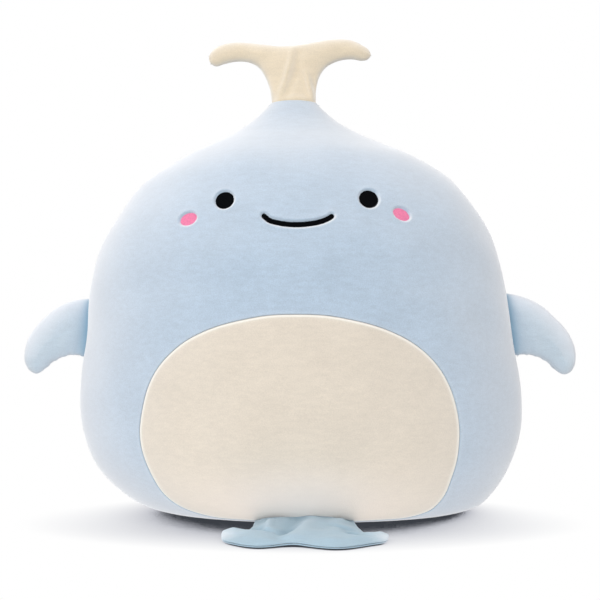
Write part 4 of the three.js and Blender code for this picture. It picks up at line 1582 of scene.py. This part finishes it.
def plan_tail():
    loop = closed_curve(TAIL_OUTLINE)
    height, length, seed = TAIL_LUMPS

    def root(spots):
        return TAIL_ROOT_Y - spots[:, 1]

    def relief(plan, side):
        bumps = TAIL_FOLD_RISE * folded(plan, TAIL_FOLDS) + height * waves(plan, length, seed)
        return bumps if side > 0 else 0 * bumps

    def shaped(plan, height, side, inset):
        inward = smoothstep(-signed_distance(plan, loop), 0, TAIL_RIM_REACH)
        forward = smoothstep(-plan[:, 1], -TAIL_ROOT_Y, -TAIL_OUTLINE_FRONT)
        share = (TAIL_RIM_SHARE + (1 - TAIL_RIM_SHARE) * inward) * (1 - (1 - TAIL_FRONT_SHARE) * forward)
        return height * share if side > 0 else UNDER_SHARE * height

    def tone(plan, away, outward):
        # Painted paler tips, a painted highlight on rims facing sideways or back, painted light on fold
        # crests and painted shade in fold valleys.
        tips = TAIL_PALE * np.max([hill(plan, *tip) for tip in TAIL_TIPS], axis=0)
        facing_back = smoothstep(outward[:, 1] + np.abs(outward[:, 0]), *TAIL_RIM_FACING)
        rim = TAIL_RIM_PALE * facing_back * bell(away, TAIL_RIM_PALE_REACH)
        fold = folded(plan, TAIL_FOLDS) / TAIL_TONED_FOLD
        crest, valley = np.clip(fold, 0, 1), np.clip(-fold, 0, 1)
        return np.max([tips, rim, TAIL_CREST_PALE * crest], axis=0), TAIL_VALLEY_SHADE * valley

    def lift(plan):
        return sum(rise * hill(plan, place, reach) for place, reach, rise in TAIL_LIFTS)

    start, end = ((HINGES["tail_lift"] + (0, ahead, 0)) * MM for ahead in TAIL_BEND)
    return Limb(
        "tail",
        "tail_plush",
        sides=("under", "top"),
        loop=loop,
        origin=np.array([0, 0, TAIL_LEVEL]),
        axes=[(1, 0, 0), (0, 1, 0), (0, 0, 1)],
        thickness=TAIL_THICKNESS,
        edge=TAIL_EDGE,
        cap=TAIL_PUFF_CAP,
        root=root,
        root_reach=TAIL_ROOT_REACH,
        shaped=shaped,
        relief=relief,
        lift=lift,
        tone=tone,
        start=start,
        end=end,
        fill=TAIL_FILL,
    )


limbs = [plan_fin(1, "left"), plan_fin(-1, "right"), plan_spout(), plan_tail()]
puff_body()
for limb in limbs:
    limb.blow_up()
make_front()
make_back("back_left", 0.0, math.pi / 2)
make_back("back_right", math.pi / 2, math.pi)
make_base()
make_body_filling()
make_face()
for limb in limbs:
    make_limb(limb)


# Stage: floor, light and camera

# The floor's half width and its level, in metres.
FLOOR_REACH = 4.0
FLOOR_LEVEL = -0.0003
# The shadow falls forward: how far what stands above the floor shades it, and from which side.
SHADOW_REACH = 0.11
SHADOW_LEAN = (0.0, 0.99, 0.1)
SHADOW_SAMPLES = 64
# Shares of open sky where the shadow is full and where it ends, then for red, green and blue the
# power of its fall and its least tone.
SHADOW_FULL = 0.5
SHADOW_CLEAR = 0.863
SHADOW_TONES = ((0.294, 0.045), (0.287, 0.05), (0.252, 0.06))
# The floor's own light on the object: its strength, and distances from the middle where it fades.
BOUNCE = 0.46
BOUNCE_NEAR = 0.12
BOUNCE_FAR = 0.5
FLOOR_GREY = (0.3, 0.3, 0.3, 1)


def seen_directly(nodes):
    """1 on what the camera sees, also in a mirror or through glass."""
    path = nodes.add("LightPath", {})
    seen = nodes.maths("MAXIMUM", path["Is Camera Ray"], path["Is Glossy Ray"])
    return nodes.maths("MAXIMUM", seen, path["Is Transmission Ray"])


def make_floor():
    """White floor that keeps the contact shadow."""
    mesh = bpy.data.meshes.new("floor")
    square = ((-1, -1), (1, -1), (1, 1), (-1, 1))
    corners = [(x * FLOOR_REACH, y * FLOOR_REACH, FLOOR_LEVEL) for x, y in square]
    mesh.from_pydata(corners, [], [(0, 1, 2, 3)])
    floor = bpy.data.objects.new("floor", mesh)
    bpy.context.scene.collection.objects.link(floor)
    material = bpy.data.materials.new("floor_white")
    nodes = Nodes(material)
    nodes.tree.nodes.remove(nodes.tree.nodes["Principled BSDF"])
    away = nodes.add("VectorMath", {0: nodes.object_place()}, operation="LENGTH")["Value"]
    strength = nodes.ramp(away, BOUNCE_NEAR, BOUNCE_FAR, BOUNCE, 0.0)
    bounce = nodes.add("Emission", {"Color": WHITE, "Strength": strength})[0]
    matt = nodes.add("BsdfDiffuse", {"Color": FLOOR_GREY})[0]
    plain = nodes.add("AddShader", {0: matt, 1: bounce})[0]
    lean = nodes.add("CombineXYZ", dict(enumerate(SHADOW_LEAN)))[0]
    inputs = {"Distance": SHADOW_REACH, "Normal": lean}
    sky = nodes.add("AmbientOcclusion", inputs, samples=SHADOW_SAMPLES)["AO"]
    clear = nodes.ramp(sky, SHADOW_FULL, SHADOW_CLEAR)
    tones = [
        nodes.ramp(nodes.maths("POWER", clear, power), 0.0, 1.0, least) for power, least in SHADOW_TONES
    ]
    shade = nodes.add("CombineColor", dict(enumerate(tones)))[0]
    white = nodes.add("Emission", {"Color": shade, "Strength": 1.0})[0]
    mix = nodes.add("MixShader", {0: seen_directly(nodes), 1: plain, 2: white})[0]
    nodes.fill(nodes.tree.nodes["Material Output"], {"Surface": mix})
    mesh.materials.append(material)


# How strongly the sky shines from each side: the side's axis, its sign and the strength.
SKY_SIDES = [("Y", -1.0, 0.4), ("Y", 1.0, 1.2), ("X", -1.0, 1.4), ("X", 1.0, 0.93)]


def make_world():
    """White backdrop for the camera. The light from it differs from side to side."""
    world = bpy.data.worlds.new("studio")
    bpy.context.scene.world = world
    nodes = Nodes(world)
    nodes.tree.nodes.clear()
    direction = nodes.add("TexCoord", {})["Generated"]
    parts = nodes.add("SeparateXYZ", {0: direction})
    total = 0.0
    for axis, sign, strength in SKY_SIDES:
        total = nodes.maths("ADD", total, nodes.ramp(parts[axis], 0.0, sign, 0.0, strength))
    dome = nodes.add("Background", {"Color": WHITE, "Strength": total})[0]
    white = nodes.add("Background", {"Color": WHITE, "Strength": 1.0})[0]
    mix = nodes.add("MixShader", {0: seen_directly(nodes), 1: dome, 2: white})[0]
    nodes.add("OutputWorld", {"Surface": mix})


# Round area lamps: place and target in metres, size and power.
LAMPS = {
    "top": ((-0.2, -0.1, 1.6), (0, 0, 0.2), 1.2, 4.4),
    "fill": ((-0.1, -1.9, 0.12), (0, 0, 0.05), 0.8, 19.3),
}


def make_lamp(name, place, target, size, power):
    light = bpy.data.lights.new(name, "AREA")
    light.shape = "DISK"
    light.size = size
    light.energy = power
    lamp = bpy.data.objects.new(name, light)
    bpy.context.scene.collection.objects.link(lamp)
    lamp.location = place
    lamp.rotation_euler = Vector(np.subtract(target, place)).to_track_quat("-Z", "Y").to_euler()


CAMERA_DISTANCE = 1.150
CAMERA_HEIGHT = 0.156
FOCAL_PIXELS = 1533.0
PICTURE_PIXELS = 600
SENSOR = 36.0


def make_camera():
    data = bpy.data.cameras.new("camera")
    data.sensor_width = SENSOR
    data.lens = SENSOR * FOCAL_PIXELS / PICTURE_PIXELS
    camera = bpy.data.objects.new("camera", data)
    bpy.context.scene.collection.objects.link(camera)
    camera.location = (0, -CAMERA_DISTANCE, CAMERA_HEIGHT)
    camera.rotation_euler = (math.pi / 2, 0, 0)
    bpy.context.scene.camera = camera


make_floor()
make_world()
for name, settings in LAMPS.items():
    make_lamp(name, *settings)
make_camera()
bpy.context.scene.view_settings.view_transform = "Standard"
